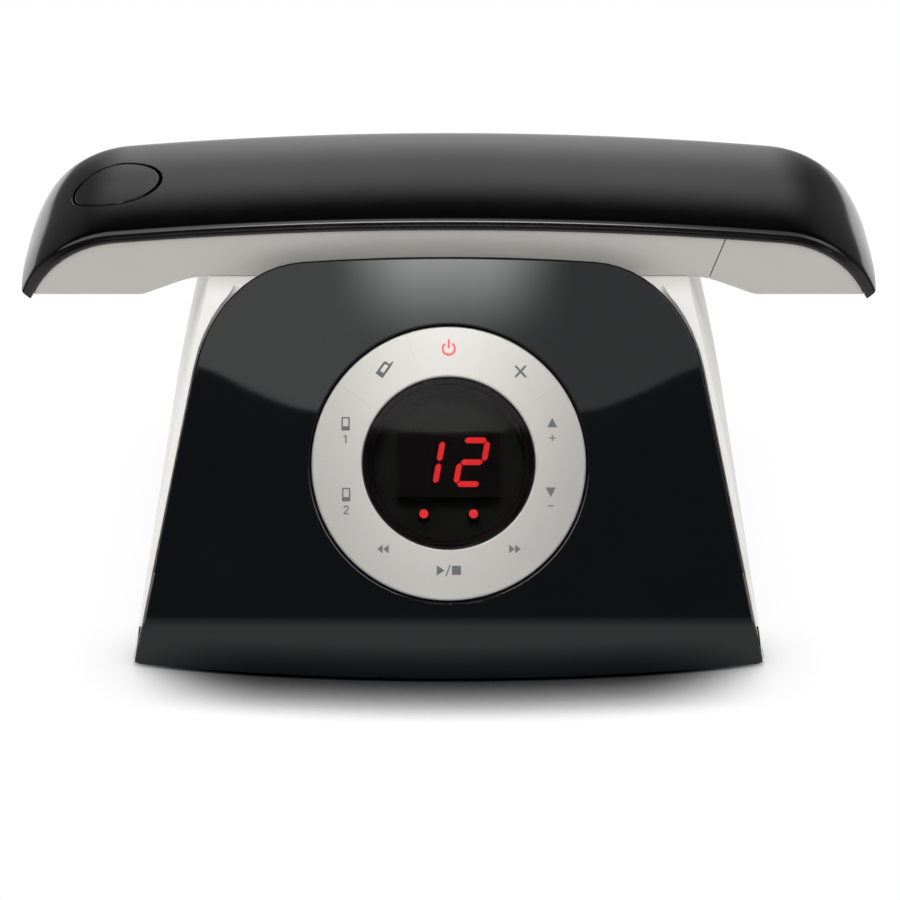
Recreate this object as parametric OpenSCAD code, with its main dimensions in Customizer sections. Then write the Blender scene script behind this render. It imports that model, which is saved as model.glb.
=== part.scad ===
// Cordless telephone: a wedge-shaped answering base with a ring of keys round a small display,
// and a long handset that lies across the cradle on top.
// X runs along the handset, the front is at -Y, and the table is at Z = 0.

/* [Base] */
// Half width of the base shell at its bottom edge
base_foot_half = 74.6; // [72:0.2:78]
// Half width of the base shell at the shoulders that carry the handset
base_top_half = 57; // [55.6:0.2:58]
// Outward swell of the side walls half way up
side_swell = 1.4; // [0.4:0.1:2.4]
// Depth of the base from front to back
base_depth = 110; // [108:1:120]
// Height of the shoulders
shoulder_z = 76.5; // [75:0.5:79]
// Wall of the base shell
base_wall = 2.2; // [1.8:0.1:2.6]
// Height of the bottom edge above the table
ground_gap = 0.8; // [0.4:0.1:1.2]
// Height of the lip behind the handset, above the shoulders
rear_lip_h = 5.5; // [3:0.5:7]
// Thickness of the lip behind the handset
rear_lip_t = 3.2; // [2.6:0.1:3.6]
// Rounding of the shoulders' front edge
shoulder_r = 6; // [4:0.5:8]
// Depth of the key well in the middle of the cradle
well_depth = 3; // [2.4:0.1:3.6]

/* [Front panel] */
// Backward lean of the panel from upright, in degrees
panel_lean = 38; // [36:0.5:39]
// Height of the crease between skirt and panel
crease_z = 16.5; // [15:0.5:18]
// Radius of the sideways bow of the panel
bow_r = 372; // [340:4:420]
// Thickness of the panel
panel_t = 2.2; // [2:0.1:2.4]
// Height that the panel stands proud of the shell
panel_proud = 0.5; // [0.3:0.1:0.8]
// Half width of the panel at its bottom edge
panel_foot_half = 74.4; // [72:0.2:74.4]
// Half width of the panel at the height of the shoulders
panel_shoulder_half = 56.3; // [55:0.1:57.5]
// Height of the top of the arch
panel_top_z = 84.8; // [83.4:0.2:85.4]
// Radius of the arch
panel_arch_r = 350; // [300:10:400]
// Radius of the two upper corners
panel_corner_r = 29; // [25:1:33]

/* [Key ring] */
// Distance up the slope from the crease to the centre of the ring
ring_rise = 37.8; // [37:0.2:38.6]
// Outer radius of the ring of keys
ring_ro = 32.1; // [31:0.1:33]
// Inner radius of the ring of keys
ring_ri = 20.2; // [19.6:0.1:20.8]
// Gap between the ring and the panel, and between the ring and the display
ring_gap = 0.4; // [0.3:0.05:0.6]
// Gap between neighbouring keys
key_gap = 0.16; // [0.12:0.02:0.3]
// Depth of a key below the panel's face
key_depth = 5.2; // [4.8:0.1:5.6]
// Travel of a ring key
key_travel = 0.6; // [0.4:0.1:0.8]
// Radius of a ring key's stem
key_stem_r = 1.5; // [1.3:0.1:1.7]

/* [Base inside] */
// Depth of the main board's face below the panel's face
board_depth = 12.4; // [12:0.1:13]
// Thickness of the circuit boards
board_t = 1.6; // [1.2:0.1:1.8]
// Width of the main board
board_w = 98; // [94:1:100]
// Length of the main board up the slope
board_l = 72; // [70:1:73]
// Side of a square push switch
switch_w = 6; // [5.6:0.1:6.4]
// Thickness of the display lens
lens_t = 1.6; // [1.2:0.1:2]
// Radius of the base loudspeaker
speaker_r = 20; // [18:0.5:21]
// Thickness of the bottom cover
bottom_t = 2.2; // [2:0.1:2.6]
// Radius of a rubber foot
foot_r = 6; // [5:0.5:7]
// Inner radius of the power socket
power_bore_r = 2.75; // [2.6:0.05:2.9]
// Width of the line socket's mouth
line_mouth_w = 9.8; // [9.4:0.1:10.2]
// Height of the line socket's mouth
line_mouth_h = 6.8; // [6.4:0.1:7.2]

/* [Handset] */
// Half length of the handset at the edge of its cover
handset_half_len = 104; // [101.5:0.5:106.5]
// Width of the handset
handset_w = 48.5; // [47.5:0.5:49.5]
// Height of the lower shell at mid length, underside to rim
handset_body_h = 12.5; // [12:0.1:13]
// Radius of the long arch of the back
handset_arch_r = 900; // [800:20:1100]
// Radius of the turned-down tips
handset_tip_r = 27; // [25.5:0.5:28.5]
// Upright band below the cover's edge
cover_lip = 2.3; // [2:0.1:2.6]
// Crown of the cover across its width
cover_crown = 1.4; // [0.8:0.1:2.2]
// Wall of the top cover
cover_t = 1.8; // [1.5:0.1:2]
// Wall of the lower shell
shell_t = 2; // [1.8:0.1:2.2]
// Set-back of the lower shell's sides from the cover's edge
shell_inset = 0.5; // [0.3:0.1:0.8]
// How far the end pads hang below the waist
pad_drop = 5; // [4.6:0.1:5.4]
// Half length of the waist
waist_half = 60.4; // [60:0.1:61]
// Distance from the middle to the inner edge of an end pad
pad_inner = 73; // [72:0.2:74]
// Radius of the turn from the waist into the slope
waist_turn_r = 24; // [20:1:26]
// Radius of the turn from the slope into an end pad
pad_turn_r = 6; // [5:0.5:7]
// Distance from the middle to the battery door's seam, at the underside
seam_x = 62; // [61.5:0.1:62.5]
// Gap round the battery door
door_gap = 0.2; // [0.15:0.05:0.3]
// Gap between handset and cradle
cradle_gap = 0.8; // [0.6:0.1:1]
// Distance from the panel's top edge to the handset
cradle_front = 4.4; // [4.2:0.1:5]
// Gap between handset and shoulders
seat_gap = 0.1; // [0.05:0.05:0.2]

/* [Handset keys] */
// Length of a keypad key along the handset
pad_key_l = 9; // [8.4:0.1:9.4]
// Width of a keypad key across the handset
pad_key_w = 9.8; // [9:0.1:10.4]
// Pitch of the rows of keys
row_pitch = 12; // [11.8:0.1:12.2]
// Pitch of the columns of keys
column_pitch = 13.5; // [13:0.1:14]
// Height of a keypad key below the underside
pad_key_rise = 0.9; // [0.6:0.1:1.2]
// Travel of a keypad key
pad_key_travel = 0.8; // [0.6:0.1:0.9]
// Gap round a keypad key
pad_key_gap = 0.25; // [0.2:0.05:0.35]
// Radius of the round button on the earpiece end
button_r = 10.6; // [9.9:0.1:10.8]
// Distance from the handset's tip to the round button's centre
button_x = 23.5; // [23:0.1:24]
// Travel of the round button
button_travel = 0.8; // [0.6:0.1:0.9]
// Gap round the round button
button_gap = 0.25; // [0.2:0.05:0.35]

/* [Fasteners] */
// Radius of a screw's shank
screw_r = 1.2; // [1:0.05:1.3]
// Radius of a screw's head
screw_head_r = 2.5; // [2.2:0.1:2.8]
// Clearance between a screw and what it passes through
screw_gap = 0.1; // [0.05:0.05:0.2]
// Wall of a screw post
post_wall = 1.8; // [1.5:0.1:2]

/* [Hidden] */
$fn = 64;
ring_names = ["key_answer", "key_delete", "key_volume_up", "key_volume_down", "key_skip",
  "key_play", "key_repeat", "key_cell_two", "key_cell_one", "key_find"];
pad_names = ["pad_key_talk", "pad_key_menu", "pad_key_off", "pad_key_1", "pad_key_2", "pad_key_3",
  "pad_key_4", "pad_key_5", "pad_key_6", "pad_key_7", "pad_key_8", "pad_key_9",
  "pad_key_star", "pad_key_0", "pad_key_hash"];

fit = 0.15;
touch = 0.1;
over = 1;
far = 200;
bow_fn = 720;
front_y = -base_depth / 2;
back_y = base_depth / 2;
skirt_r = bow_r / cos(panel_lean);
handset_half_w = handset_w / 2;
handset_y = front_y + (panel_top_z - crease_z) * tan(panel_lean) + cradle_front + handset_half_w;
handset_z = shoulder_z + seat_gap;
side_steps = 8;

// Front wall of the shell under the panel, the skin of its top, and the bottom cover's place
front_wall = 1.4;
top_wall = 2.4;
cavity_inset = panel_t + fit + front_wall;
cover_recess = 0.4;
cover_z = ground_gap + cover_recess;
cover_top = cover_z + bottom_t;

// Back wall: upright behind the sockets, then leaning to the back of the cradle
cradle_front_y = handset_y - handset_half_w - cradle_gap;
cradle_back_y = handset_y + handset_half_w + cradle_gap + rear_lip_t;
back_knee_z = 30;
back_top_z = shoulder_z - top_wall - 4;
lip_in = 8;
shoulder_in = 7;
shoulder_reach = 14;
lip_flare = 4;
front_lip_drop = 3.2;
well_ends = [-14.4, waist_half - 12];
well_side = 4;

// Arch of the panel: side lines, corner arcs and one long top arc
panel_taper = (panel_foot_half - panel_shoulder_half) / (shoulder_z - ground_gap);
arch_steps = 10;

// Ring keys: angles from three o'clock, stems and retaining flange
key_step = 360 / len(ring_names);
stem_radius = (ring_ro + ring_ri) / 2;
flange_w = 1.8;
flange_t = 1;
stem_in_switch = 1.6;
switch_h = 4.2;
switch_top = board_depth - switch_h;
bore_spare = 0.6;
switch_bore_depth = stem_in_switch + key_travel + bore_spare;
display_r = ring_ri - ring_gap;
bezel_wall = 2;
lens_ledge = 1;
lens_depth = 0.8;
led_face_depth = 4.4;
led_w = 24;
led_h = 15.4;
lamp_r = 1.5;
lamp_x = 5.8;
lamp_drop = 11.8;

// Boards, sockets and fixings of the base
board_post_in = 5;
board_post_x = board_w / 2 - board_post_in;
board_post_y = board_l / 2 - board_post_in;
board_screw_bite = 4;
board_head_h = 1;
antenna_x = -8;
antenna_drop = 12;
antenna_size = [28, 0.5, 8];
base_post_top = 26;
post_bite = 1.7;
post_r = screw_r + screw_gap + post_wall;
base_screw_x = half_at(base_post_top) - base_wall + post_bite - post_r;
base_screw_at = [[base_screw_x, front_y + 25], [base_screw_x, back_y - 13]];
base_screw_l = 10;
base_head_h = 0.9;
foot_at = [[base_foot_half - 24.4, front_y + 17], [base_foot_half - 18.4, back_y - 13]];
foot_sink = 0.6;
jack_board_rise = 2.6;
jack_board_z = cover_top + jack_board_rise;
jack_board_size = [62, 26];
jack_board_y = back_y - base_wall - touch - jack_board_size[1] / 2;
jack_post_r = 3;
jack_post_in = 4;
jack_z = jack_board_z + board_t;
speaker_gap = 2.7;
speaker_at = [-30, jack_board_y - jack_board_size[1] / 2 - speaker_gap - speaker_r];
speaker_rim = 3;
speaker_rim_t = 1.6;
speaker_cap_r = 6;
magnet_r = speaker_r / 2;
basket_h = 8;
speaker_h = 15;
speaker_slots = 7;
slot_w = 1.8;
slot_pitch = 4.4;
power_x = 18;
power_size = [9, 12, 11];
power_pin_r = 0.65;
power_pin_in = 2;
power_bore_depth = 9;
line_x = -14;
line_size = [13.4, 17, 12.4];
line_mouth_depth = 12;
contact_beside = 4.5;
contact_size = [3, 7];
contact_t = 0.4;
spring_foot = 2;
plate_size = [contact_size[0] + 3, contact_size[1]];

// Handset: the edge of the cover follows one long arc and two tip arcs
edge_z = handset_body_h + cover_lip;
tip_cx = handset_half_len - handset_tip_r;
tip_cz = edge_z - handset_arch_r + sqrt(pow(handset_arch_r - handset_tip_r, 2) - pow(tip_cx, 2));
phi_join = asin(tip_cx / (handset_arch_r - handset_tip_r));
phi_tip = acos((-pad_drop - tip_cz) / handset_tip_r);
tip_steps = 10;
back_steps = 12;
crown_steps = 14;
rim_gap = 0.1;
shell_half_w = handset_half_w - shell_inset;
rim_h = -cover_lip - rim_gap;
pad_slope = atan(pad_drop / (pad_inner - waist_half));
slope_shift = shell_t * tan(pad_slope / 2);
waist_turn = waist_turn_r * tan(pad_slope / 2);
pad_turn = pad_turn_r * tan(pad_slope / 2);
turn_steps = 6;
seam_lean = 0.33;

// Inside the handset
hand_switch_h = 2.4;
pad_flange = 1;
pad_flange_t = 1;
pad_stem_r = 1.4;
pad_stem_in = 1.2;
bore_roof = 0.2;
hand_board_z = shell_t + touch + pad_flange_t + pad_key_travel + touch + hand_switch_h;
hand_board_t = 1.2;
hand_board_top = hand_board_z + hand_board_t;
board_side_gap = 2.5;
board_tip_gap = 1;
hand_board_half_w = shell_half_w - shell_t - board_side_gap;
hand_screw_at = [waist_half - 4, hand_board_half_w - 2];
hand_screw_head_h = 1.2;
hand_screw_sink = 1.4;
hand_screw_top = 11.6;
first_row_x = -7;
digit_row_x = 6;
window_at = -31;
window_size = [28, 24];
contact_x = window_at;
contact_y = window_size[1] / 2 + contact_beside;
window_t = 1.6;
window_recess = 0.2;
module_size = [34, 30, 3.2];
mic_x = 51.6;
mic_r = 3;
mic_h = 2.6;
mic_hole_r = 0.7;
pad_floor_z = shell_t - pad_drop;
pad_floor_x = pad_inner + slope_shift;
ear_gap = 0.4;
ear_h = 4;
ear_end = off_spine(angle_at(pad_floor_z + touch + ear_h / 2, rim_h - shell_t), rim_h - shell_t)[0];
ear_r = (ear_end - pad_floor_x) / 2 - ear_gap;
ear_x = -(ear_end + pad_floor_x) / 2;
ear_slots = 5;
ear_slot_pitch = ear_r / 3.5;
cell_r = 5.1;
cell_gap = 0.2;
cell_end_gap = 1;
cell_past_tip = 6.1;
cell_l = 2 * (shell_half_w - shell_t - cell_end_gap);
cell_x = [tip_cx + cell_past_tip - 2 * cell_r - cell_gap, tip_cx + cell_past_tip];
board_cell_gap = 0.4;
board_tip_x = tip_cx - board_tip_gap
  + sqrt(pow(handset_tip_r - cover_t + crown(hand_board_half_w), 2) - pow(hand_board_top - tip_cz, 2));
hand_board_ends = [-board_tip_x, cell_x[0] - cell_r - board_cell_gap];
rib_t = 2;
button_clear = 0.8;
button_stem_gap = 0.6;
button_floor = hand_board_top + button_travel + button_clear;
button_t = 1.5;
button_at = handset_half_len - button_x;
button_top = back_z(button_at, cover_crown);
button_under = back_z(button_at + switch_w / 2, crown(switch_w / 2)) - button_t;
button_switch_h = button_under - button_travel - button_stem_gap - hand_board_top;
button_bore_floor = 0.3;

// Half width of the base shell at a height
function half_at(z) = let (t = (z - ground_gap) / (shoulder_z - ground_gap))
  base_foot_half + (base_top_half - base_foot_half) * t + 4 * side_swell * t * (1 - t);

// Points of an arc, from one angle to another
function arc(c, r, a0, a1, n) = [for (i = [0:n]) let (a = a0 + (a1 - a0) * i / n)
  [c[0] + r * cos(a), c[1] + r * sin(a)]];

// Outline of the front panel seen from the front, grown all round
function panel_outline(grow) = let (
  foot = panel_foot_half + grow + panel_taper * ground_gap,
  r = panel_corner_r + grow,
  big = panel_arch_r + grow,
  m = panel_arch_r - panel_top_z,
  a = 1 + panel_taper * panel_taper,
  q = foot - r * sqrt(a),
  h = m - panel_taper * q,
  cz = (-h + sqrt(h * h - a * (q * q + m * m - pow(big - r, 2)))) / a,
  cx = q - panel_taper * cz,
  a0 = atan(panel_taper),
  a1 = atan2(cz + m, cx),
  low = ground_gap - grow,
  right = concat([[foot - panel_taper * low, low]], arc([cx, cz], r, a0, a1, arch_steps)),
  top = arc([0, -m], big, a1, 180 - a1, arch_steps),
  left = concat(arc([-cx, cz], r, 180 - a1, 180 - a0, arch_steps), [[panel_taper * low - foot, low]]))
  concat(right, [for (i = [1:arch_steps - 1]) top[i]], left);

// The handset's spine: a point and its outward offset, by the angle of the normal from upright
function spine(phi) = abs(phi) <= phi_join
  ? [handset_arch_r * sin(phi), edge_z - handset_arch_r * (1 - cos(phi))]
  : [sign(phi) * (tip_cx + handset_tip_r * sin(abs(phi))), tip_cz + handset_tip_r * cos(phi)];
function off_spine(phi, h) = spine(phi) + h * [sin(phi), cos(phi)];

// Angles along the spine from tip to tip
function spine_angles(end) = concat(
  [for (i = [0:tip_steps - 1]) -end + i * (end - phi_join) / tip_steps],
  [for (i = [0:back_steps]) phi_join * (2 * i / back_steps - 1)],
  [for (i = [1:tip_steps]) phi_join + i * (end - phi_join) / tip_steps]);

// Angle at which a curve offset from the spine reaches a height
function angle_at(z, h) = acos((z - tip_cz) / (handset_tip_r + h));

// Underside of the handset from the right pad to the waist, set in by a wall
function under_turn(inset) = concat(
  arc([pad_inner + pad_turn, pad_turn_r - pad_drop], pad_turn_r - inset, 270, 270 - pad_slope, turn_steps),
  arc([waist_half - waist_turn, -waist_turn_r], waist_turn_r + inset, 90 - pad_slope, 90, turn_steps));
function underside(inset) = let (right = under_turn(inset), n = len(right) - 1)
  concat(right, [for (i = [n:-1:0]) [-right[i][0], right[i][1]]]);

// Height of a battery cell's axis where it rests on the pad, the slope or the waist
function slope_z(x) = pad_floor_z + (pad_floor_x - x) * tan(pad_slope) + cell_r / cos(pad_slope);
function cell_z(x) = cell_gap + min(shell_t + cell_r, max(pad_floor_z + cell_r, slope_z(x)));

// Height of the back at a distance from the middle, on a line offset from the spine
function back_z(x, h) = x <= (handset_arch_r + h) * sin(phi_join)
  ? edge_z - handset_arch_r + sqrt(pow(handset_arch_r + h, 2) - x * x)
  : tip_cz + sqrt(pow(handset_tip_r + h, 2) - pow(x - tip_cx, 2));

// Height of the crown above the cover's edge line
function crown(y) = cover_crown * (1 - pow(abs(y) / handset_half_w, 3));

// Sweep a closed section of [across, out] points along the spine
module sweep(section) {
  angles = spine_angles(phi_tip);
  m = len(section);
  n = len(angles);
  points = [for (phi = angles) for (s = section) let (p = off_spine(phi, s[1])) [p[0], s[0], p[1]]];
  sides = [for (k = [0:n - 2]) for (j = [0:m - 1]) let (a = k * m + j, b = k * m + (j + 1) % m)
    each [[a, b, b + m], [a, b + m, a + m]]];
  ladder = [for (i = [0:ceil(m / 2) - 2]) each concat([[i, i + 1, m - 1 - i]],
    i + 1 < m - 2 - i ? [[i + 1, m - 2 - i, m - 1 - i]] : [])];
  near = [for (t = ladder) [t[2], t[1], t[0]]];
  end = [for (t = ladder) [for (j = t) (n - 1) * m + j]];
  polyhedron(points, concat(sides, near, end), convexity = 6);
}

// Frames that the pieces are drawn in
module along_y(y0, y1) translate([0, y1, 0]) rotate([90, 0, 0]) linear_extrude(y1 - y0) children();
module on_panel() translate([0, front_y, crease_z]) rotate([-panel_lean, 0, 0]) children();
module on_ring() on_panel() translate([0, 0, ring_rise]) rotate([90, 0, 0]) children();
module in_handset() translate([0, handset_y, handset_z]) children();
module both_sides() {
  children();
  mirror([1, 0, 0]) children();
}

// A plain block centred in X and Y, standing on a height
module block(x, y, z, h) translate([-x / 2, -y / 2, z]) cube([x, y, h]);

// Everything behind the bowed and folded front, set back by an inset
module front_form(inset) intersection() {
  on_panel() translate([0, bow_r, -far]) cylinder(r = bow_r - inset, h = 2 * far, $fn = bow_fn);
  translate([0, front_y + skirt_r, -far]) cylinder(r = skirt_r - inset, h = 2 * far, $fn = bow_fn);
}

// The base's outline seen from the front, between two heights
module base_profile(inset, z0, z1) {
  heights = [for (i = [0:side_steps]) z0 + (z1 - z0) * i / side_steps];
  right = [for (z = heights) [half_at(z) - inset, z]];
  left = [for (i = [side_steps:-1:0]) [inset - half_at(heights[i]), heights[i]]];
  polygon(concat(right, left));
}

// Everything in front of the back wall, set in by an inset
module back_form(inset) translate([-far / 2, 0, 0]) rotate([90, 0, 90]) linear_extrude(far)
  polygon([[-far, -far], [back_y - inset, -far], [back_y - inset, back_knee_z],
    [cradle_back_y - inset, back_top_z], [cradle_back_y - inset, far], [-far, far]]);

module base_block(front_inset, side_inset, z0, z1) intersection() {
  front_form(front_inset);
  back_form(side_inset);
  along_y(-far, far) base_profile(side_inset, z0, z1);
}

// The key well in the cradle, widened by a wall
module key_well(grow)
  translate([(well_ends[0] + well_ends[1]) / 2, handset_y, shoulder_z - well_depth - grow])
  block(well_ends[1] - well_ends[0] + 2 * grow, 2 * (handset_half_w - well_side + grow), 0, far);

module base_cavity() difference() {
  base_block(cavity_inset, base_wall, -far / 10, shoulder_z - top_wall);
  key_well(base_wall);
}

// What the rounded front edge of the shoulders takes off, beside the panel's corners
module shoulder_cut() {
  x = base_top_half - shoulder_in;
  depth = sqrt(bow_r * bow_r - x * x);
  edge_y = front_y + (shoulder_z - crease_z) * tan(panel_lean) + (panel_proud + bow_r - depth) / cos(panel_lean);
  run = shoulder_r * tan((90 - panel_lean) / 2);
  edge = [0, shoulder_z];
  out = [-cos(panel_lean), sin(panel_lean)];
  low = edge - run * [sin(panel_lean), cos(panel_lean)];
  for (s = [0, 1]) mirror([s, 0, 0]) translate([x, edge_y, 0]) rotate([0, 0, atan(x / depth / cos(panel_lean))])
    translate([-shoulder_reach, 0, 0]) rotate([90, 0, 90]) linear_extrude(2 * shoulder_reach)
    polygon(concat(arc(edge + [run, -shoulder_r], shoulder_r, 90, 180 - panel_lean, turn_steps),
      [low + 2 * over * out, edge + 2 * over * (out + [0, 1]), edge + [run, 2 * over]]));
}

// Lips that keep the handset from sliding off to the front or the back
module front_lip() intersection() {
  front_form(panel_proud);
  along_y(-far, cradle_front_y) intersection() {
    polygon(panel_outline(-front_lip_drop));
    translate([-far / 2, shoulder_z - top_wall]) square([far, far]);
  }
}
module rear_lip() along_y(cradle_back_y - rear_lip_t, cradle_back_y) {
  low = shoulder_z - top_wall;
  high = shoulder_z + rear_lip_h;
  high_half = base_top_half - lip_in;
  low_half = high_half + lip_flare;
  polygon([[-low_half, low], [low_half, low], [low_half, shoulder_z], [high_half, high],
    [-high_half, high], [-low_half, shoulder_z]]);
}

module base_shell() color("gainsboro") difference() {
  union() {
    difference() {
      union() {
        difference() {
          base_block(panel_proud, 0, ground_gap, shoulder_z);
          shoulder_cut();
        }
        front_lip();
        rear_lip();
      }
      base_cavity();
      key_well(0);
    }
    intersection() {
      base_block(panel_proud, base_wall / 2, ground_gap, shoulder_z);
      union() {
        base_posts();
        board_posts();
      }
    }
  }
  difference() {
    along_y(-far, back_y / 2) polygon(panel_outline(fit));
    front_form(panel_t + fit);
  }
  on_ring() translate([0, 0, -board_depth])
    cylinder(r = ring_ro + flange_w + 2 * ring_gap, h = 2 * board_depth);
  at_base_screws() translate([0, 0, cover_top - over])
    cylinder(r = screw_r + screw_gap, h = base_screw_l + over);
  at_board_posts() translate([0, 0, -board_depth - over])
    cylinder(r = screw_r + screw_gap, h = board_screw_bite + 2 * over);
  jack_cutout(power_x, power_size);
  jack_cutout(line_x, line_size);
  at_contacts() block(contact_size[0] + 2 * fit, contact_size[1] + 2 * fit,
    -top_wall - over, top_wall + 2 * over);
}
module at_base_screws() both_sides() for (p = base_screw_at) translate([p[0], p[1], 0]) children();
module base_posts() at_base_screws() translate([0, 0, cover_top])
  cylinder(r = post_r, h = base_post_top - cover_top);
module at_board_posts() on_ring() both_sides() for (s = [-1, 1])
  translate([board_post_x, s * board_post_y, 0]) children();
module board_posts() at_board_posts() translate([0, 0, -board_depth])
  cylinder(r = post_r, h = board_depth - panel_t);
module jack_cutout(x, size) translate([x, back_y, 0])
  block(size[0] + 2 * fit, 4 * base_wall, jack_z - fit, size[2] + 2 * fit);
module at_contacts() translate([contact_x, handset_y, shoulder_z]) for (s = [-1, 1])
  translate([0, s * contact_y, 0]) children();

module front_panel() color([0.06, 0.06, 0.065]) difference() {
  intersection() {
    front_form(0);
    along_y(-far, back_y / 2) polygon(panel_outline(0));
  }
  front_form(panel_t);
  on_ring() translate([0, 0, -board_depth]) cylinder(r = ring_ro + ring_gap, h = 2 * board_depth);
}

module bottom_cover() color([0.12, 0.12, 0.13]) difference() {
  union() {
    intersection() {
      base_block(cavity_inset + fit, base_wall + fit, -far / 10, shoulder_z / 2);
      block(far, far, cover_z, bottom_t);
    }
    at_jack_posts() translate([0, 0, cover_top]) cylinder(r = jack_post_r, h = jack_board_rise);
  }
  at_base_screws() {
    cylinder(r = screw_r + screw_gap, h = far);
    cylinder(r = screw_head_r + screw_gap, h = cover_z + bottom_t / 2);
  }
  at_feet() cylinder(r = foot_r + screw_gap, h = cover_z + foot_sink);
  translate([speaker_at[0], speaker_at[1], 0]) for (i = [0:speaker_slots - 1])
    let (x = (i - (speaker_slots - 1) / 2) * slot_pitch,
      reach = sqrt(pow(speaker_r - speaker_rim, 2) - x * x))
      translate([x, 0, 0]) block(slot_w, 2 * reach, 0, far);
}
module at_feet() both_sides() for (p = foot_at) translate([p[0], p[1], 0]) children();
module at_jack_posts() for (s = [-1, 1])
  translate([s * (jack_board_size[0] / 2 - jack_post_in),
    jack_board_y - jack_board_size[1] / 2 + jack_post_in, 0]) children();

module rubber_feet() color([0.18, 0.18, 0.18]) at_feet() cylinder(r = foot_r, h = cover_z + foot_sink);

module base_screws() color("silver") at_base_screws() {
  head_top = cover_z + bottom_t / 2;
  translate([0, 0, head_top - base_head_h]) cylinder(r = screw_head_r, h = base_head_h);
  translate([0, 0, head_top]) cylinder(r = screw_r, h = base_screw_l - over);
}

// Display: a lens on a round bezel that stands on the board, with the digits and lamps inside
module display_lens() color([0.16, 0.04, 0.05]) on_ring() translate([0, 0, -lens_depth - lens_t])
  cylinder(r = display_r - lens_ledge - fit, h = lens_t);

module display_bezel() color([0.08, 0.08, 0.085]) on_ring() difference() {
  translate([0, 0, -board_depth]) cylinder(r = display_r, h = board_depth - lens_depth);
  translate([0, 0, -board_depth - over]) cylinder(r = display_r - bezel_wall, h = 2 * board_depth);
  translate([0, 0, -lens_depth - lens_t]) cylinder(r = display_r - lens_ledge, h = board_depth);
}

module led_display() color([0.25, 0.03, 0.03]) on_ring()
  block(led_w, led_h, -board_depth, board_depth - led_face_depth);

module indicator_leds() color("red") on_ring() both_sides() translate([lamp_x, -lamp_drop, -board_depth]) {
  lamp_h = board_depth - led_face_depth - lamp_r;
  cylinder(r = lamp_r, h = lamp_h);
  translate([0, 0, lamp_h]) sphere(r = lamp_r);
}

module main_board() color("darkgreen") on_ring() translate([0, 0, -board_depth - board_t]) difference() {
  block(board_w, board_l, 0, board_t);
  both_sides() for (s = [-1, 1]) translate([board_post_x, s * board_post_y, -over])
    cylinder(r = screw_r + screw_gap, h = board_t + 2 * over);
}

module board_screws() color("silver") at_board_posts() translate([0, 0, -board_depth - board_t]) {
  translate([0, 0, -board_head_h]) cylinder(r = screw_head_r, h = board_head_h);
  cylinder(r = screw_r, h = board_t + board_screw_bite);
}

module key_switches() color([0.2, 0.2, 0.2]) on_ring() for (i = [0:len(ring_names) - 1])
  rotate(90 - i * key_step) translate([stem_radius, 0, 0]) difference() {
    block(switch_w, switch_w, -board_depth, board_depth - switch_top);
    translate([0, 0, -switch_top - switch_bore_depth]) cylinder(r = key_stem_r + fit, h = board_depth);
  }

// One key of the ring, with its face on the bow of the panel
module ring_key(i) color([0.82, 0.82, 0.83]) on_ring() rotate(90 - i * key_step) {
  span = key_step - 2 * asin(key_gap / (2 * stem_radius));
  intersection() {
    rotate(-span / 2) rotate_extrude(angle = span, $fn = 360) {
      translate([ring_ri, -key_depth]) square([ring_ro - ring_ri, 2 * key_depth]);
      translate([ring_ri, -key_depth]) square([ring_ro + flange_w - ring_ri, flange_t]);
    }
    rotate(i * key_step - 90) translate([0, far / 2, -bow_r]) rotate([90, 0, 0])
      cylinder(r = bow_r, h = far, $fn = bow_fn);
  }
  translate([stem_radius, 0, -switch_top - stem_in_switch])
    cylinder(r = key_stem_r, h = switch_top + stem_in_switch - key_depth + flange_t);
}

module base_speaker() color([0.3, 0.3, 0.32]) translate([speaker_at[0], speaker_at[1], cover_top])
  rotate_extrude() polygon([[0, speaker_rim], [speaker_cap_r, speaker_rim], [speaker_r - speaker_rim, 0],
    [speaker_r, 0], [speaker_r, speaker_rim_t], [speaker_r - speaker_rim, speaker_rim_t],
    [magnet_r, basket_h], [magnet_r, speaker_h], [0, speaker_h]]);

// Sockets at the back, on their own small board
module jack_board() color("darkgreen") translate([0, jack_board_y, jack_board_z])
  block(jack_board_size[0], jack_board_size[1], 0, board_t);

module power_jack() color([0.1, 0.1, 0.1]) translate([power_x, back_y, jack_z]) {
  middle = power_size[2] / 2;
  difference() {
    translate([-power_size[0] / 2, -power_size[1], 0]) cube(power_size);
    translate([0, over, middle]) rotate([90, 0, 0]) cylinder(r = power_bore_r, h = power_bore_depth + over);
  }
  translate([0, -power_pin_in, middle]) rotate([90, 0, 0])
    cylinder(r = power_pin_r, h = power_bore_depth - over);
}

module line_jack() color([0.85, 0.84, 0.8]) translate([line_x, back_y, jack_z]) difference() {
  translate([-line_size[0] / 2, -line_size[1], 0]) cube(line_size);
  translate([-line_mouth_w / 2, -line_mouth_depth, (line_size[2] - line_mouth_h) / 2])
    cube([line_mouth_w, line_mouth_depth + over, line_mouth_h]);
}

module charge_springs() color("gold") at_contacts() {
  tab_w = contact_size[1] - spring_foot;
  block(contact_size[0] + spring_foot, tab_w, -top_wall - contact_t, contact_t);
  block(contact_size[0], tab_w, -top_wall, top_wall - touch);
}

module antenna() color("goldenrod") on_ring()
  translate([antenna_x, board_l / 2 - antenna_drop, -board_depth - board_t - antenna_size[2]])
    block(antenna_size[0], antenna_size[1], 0, antenna_size[2]);

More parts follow.
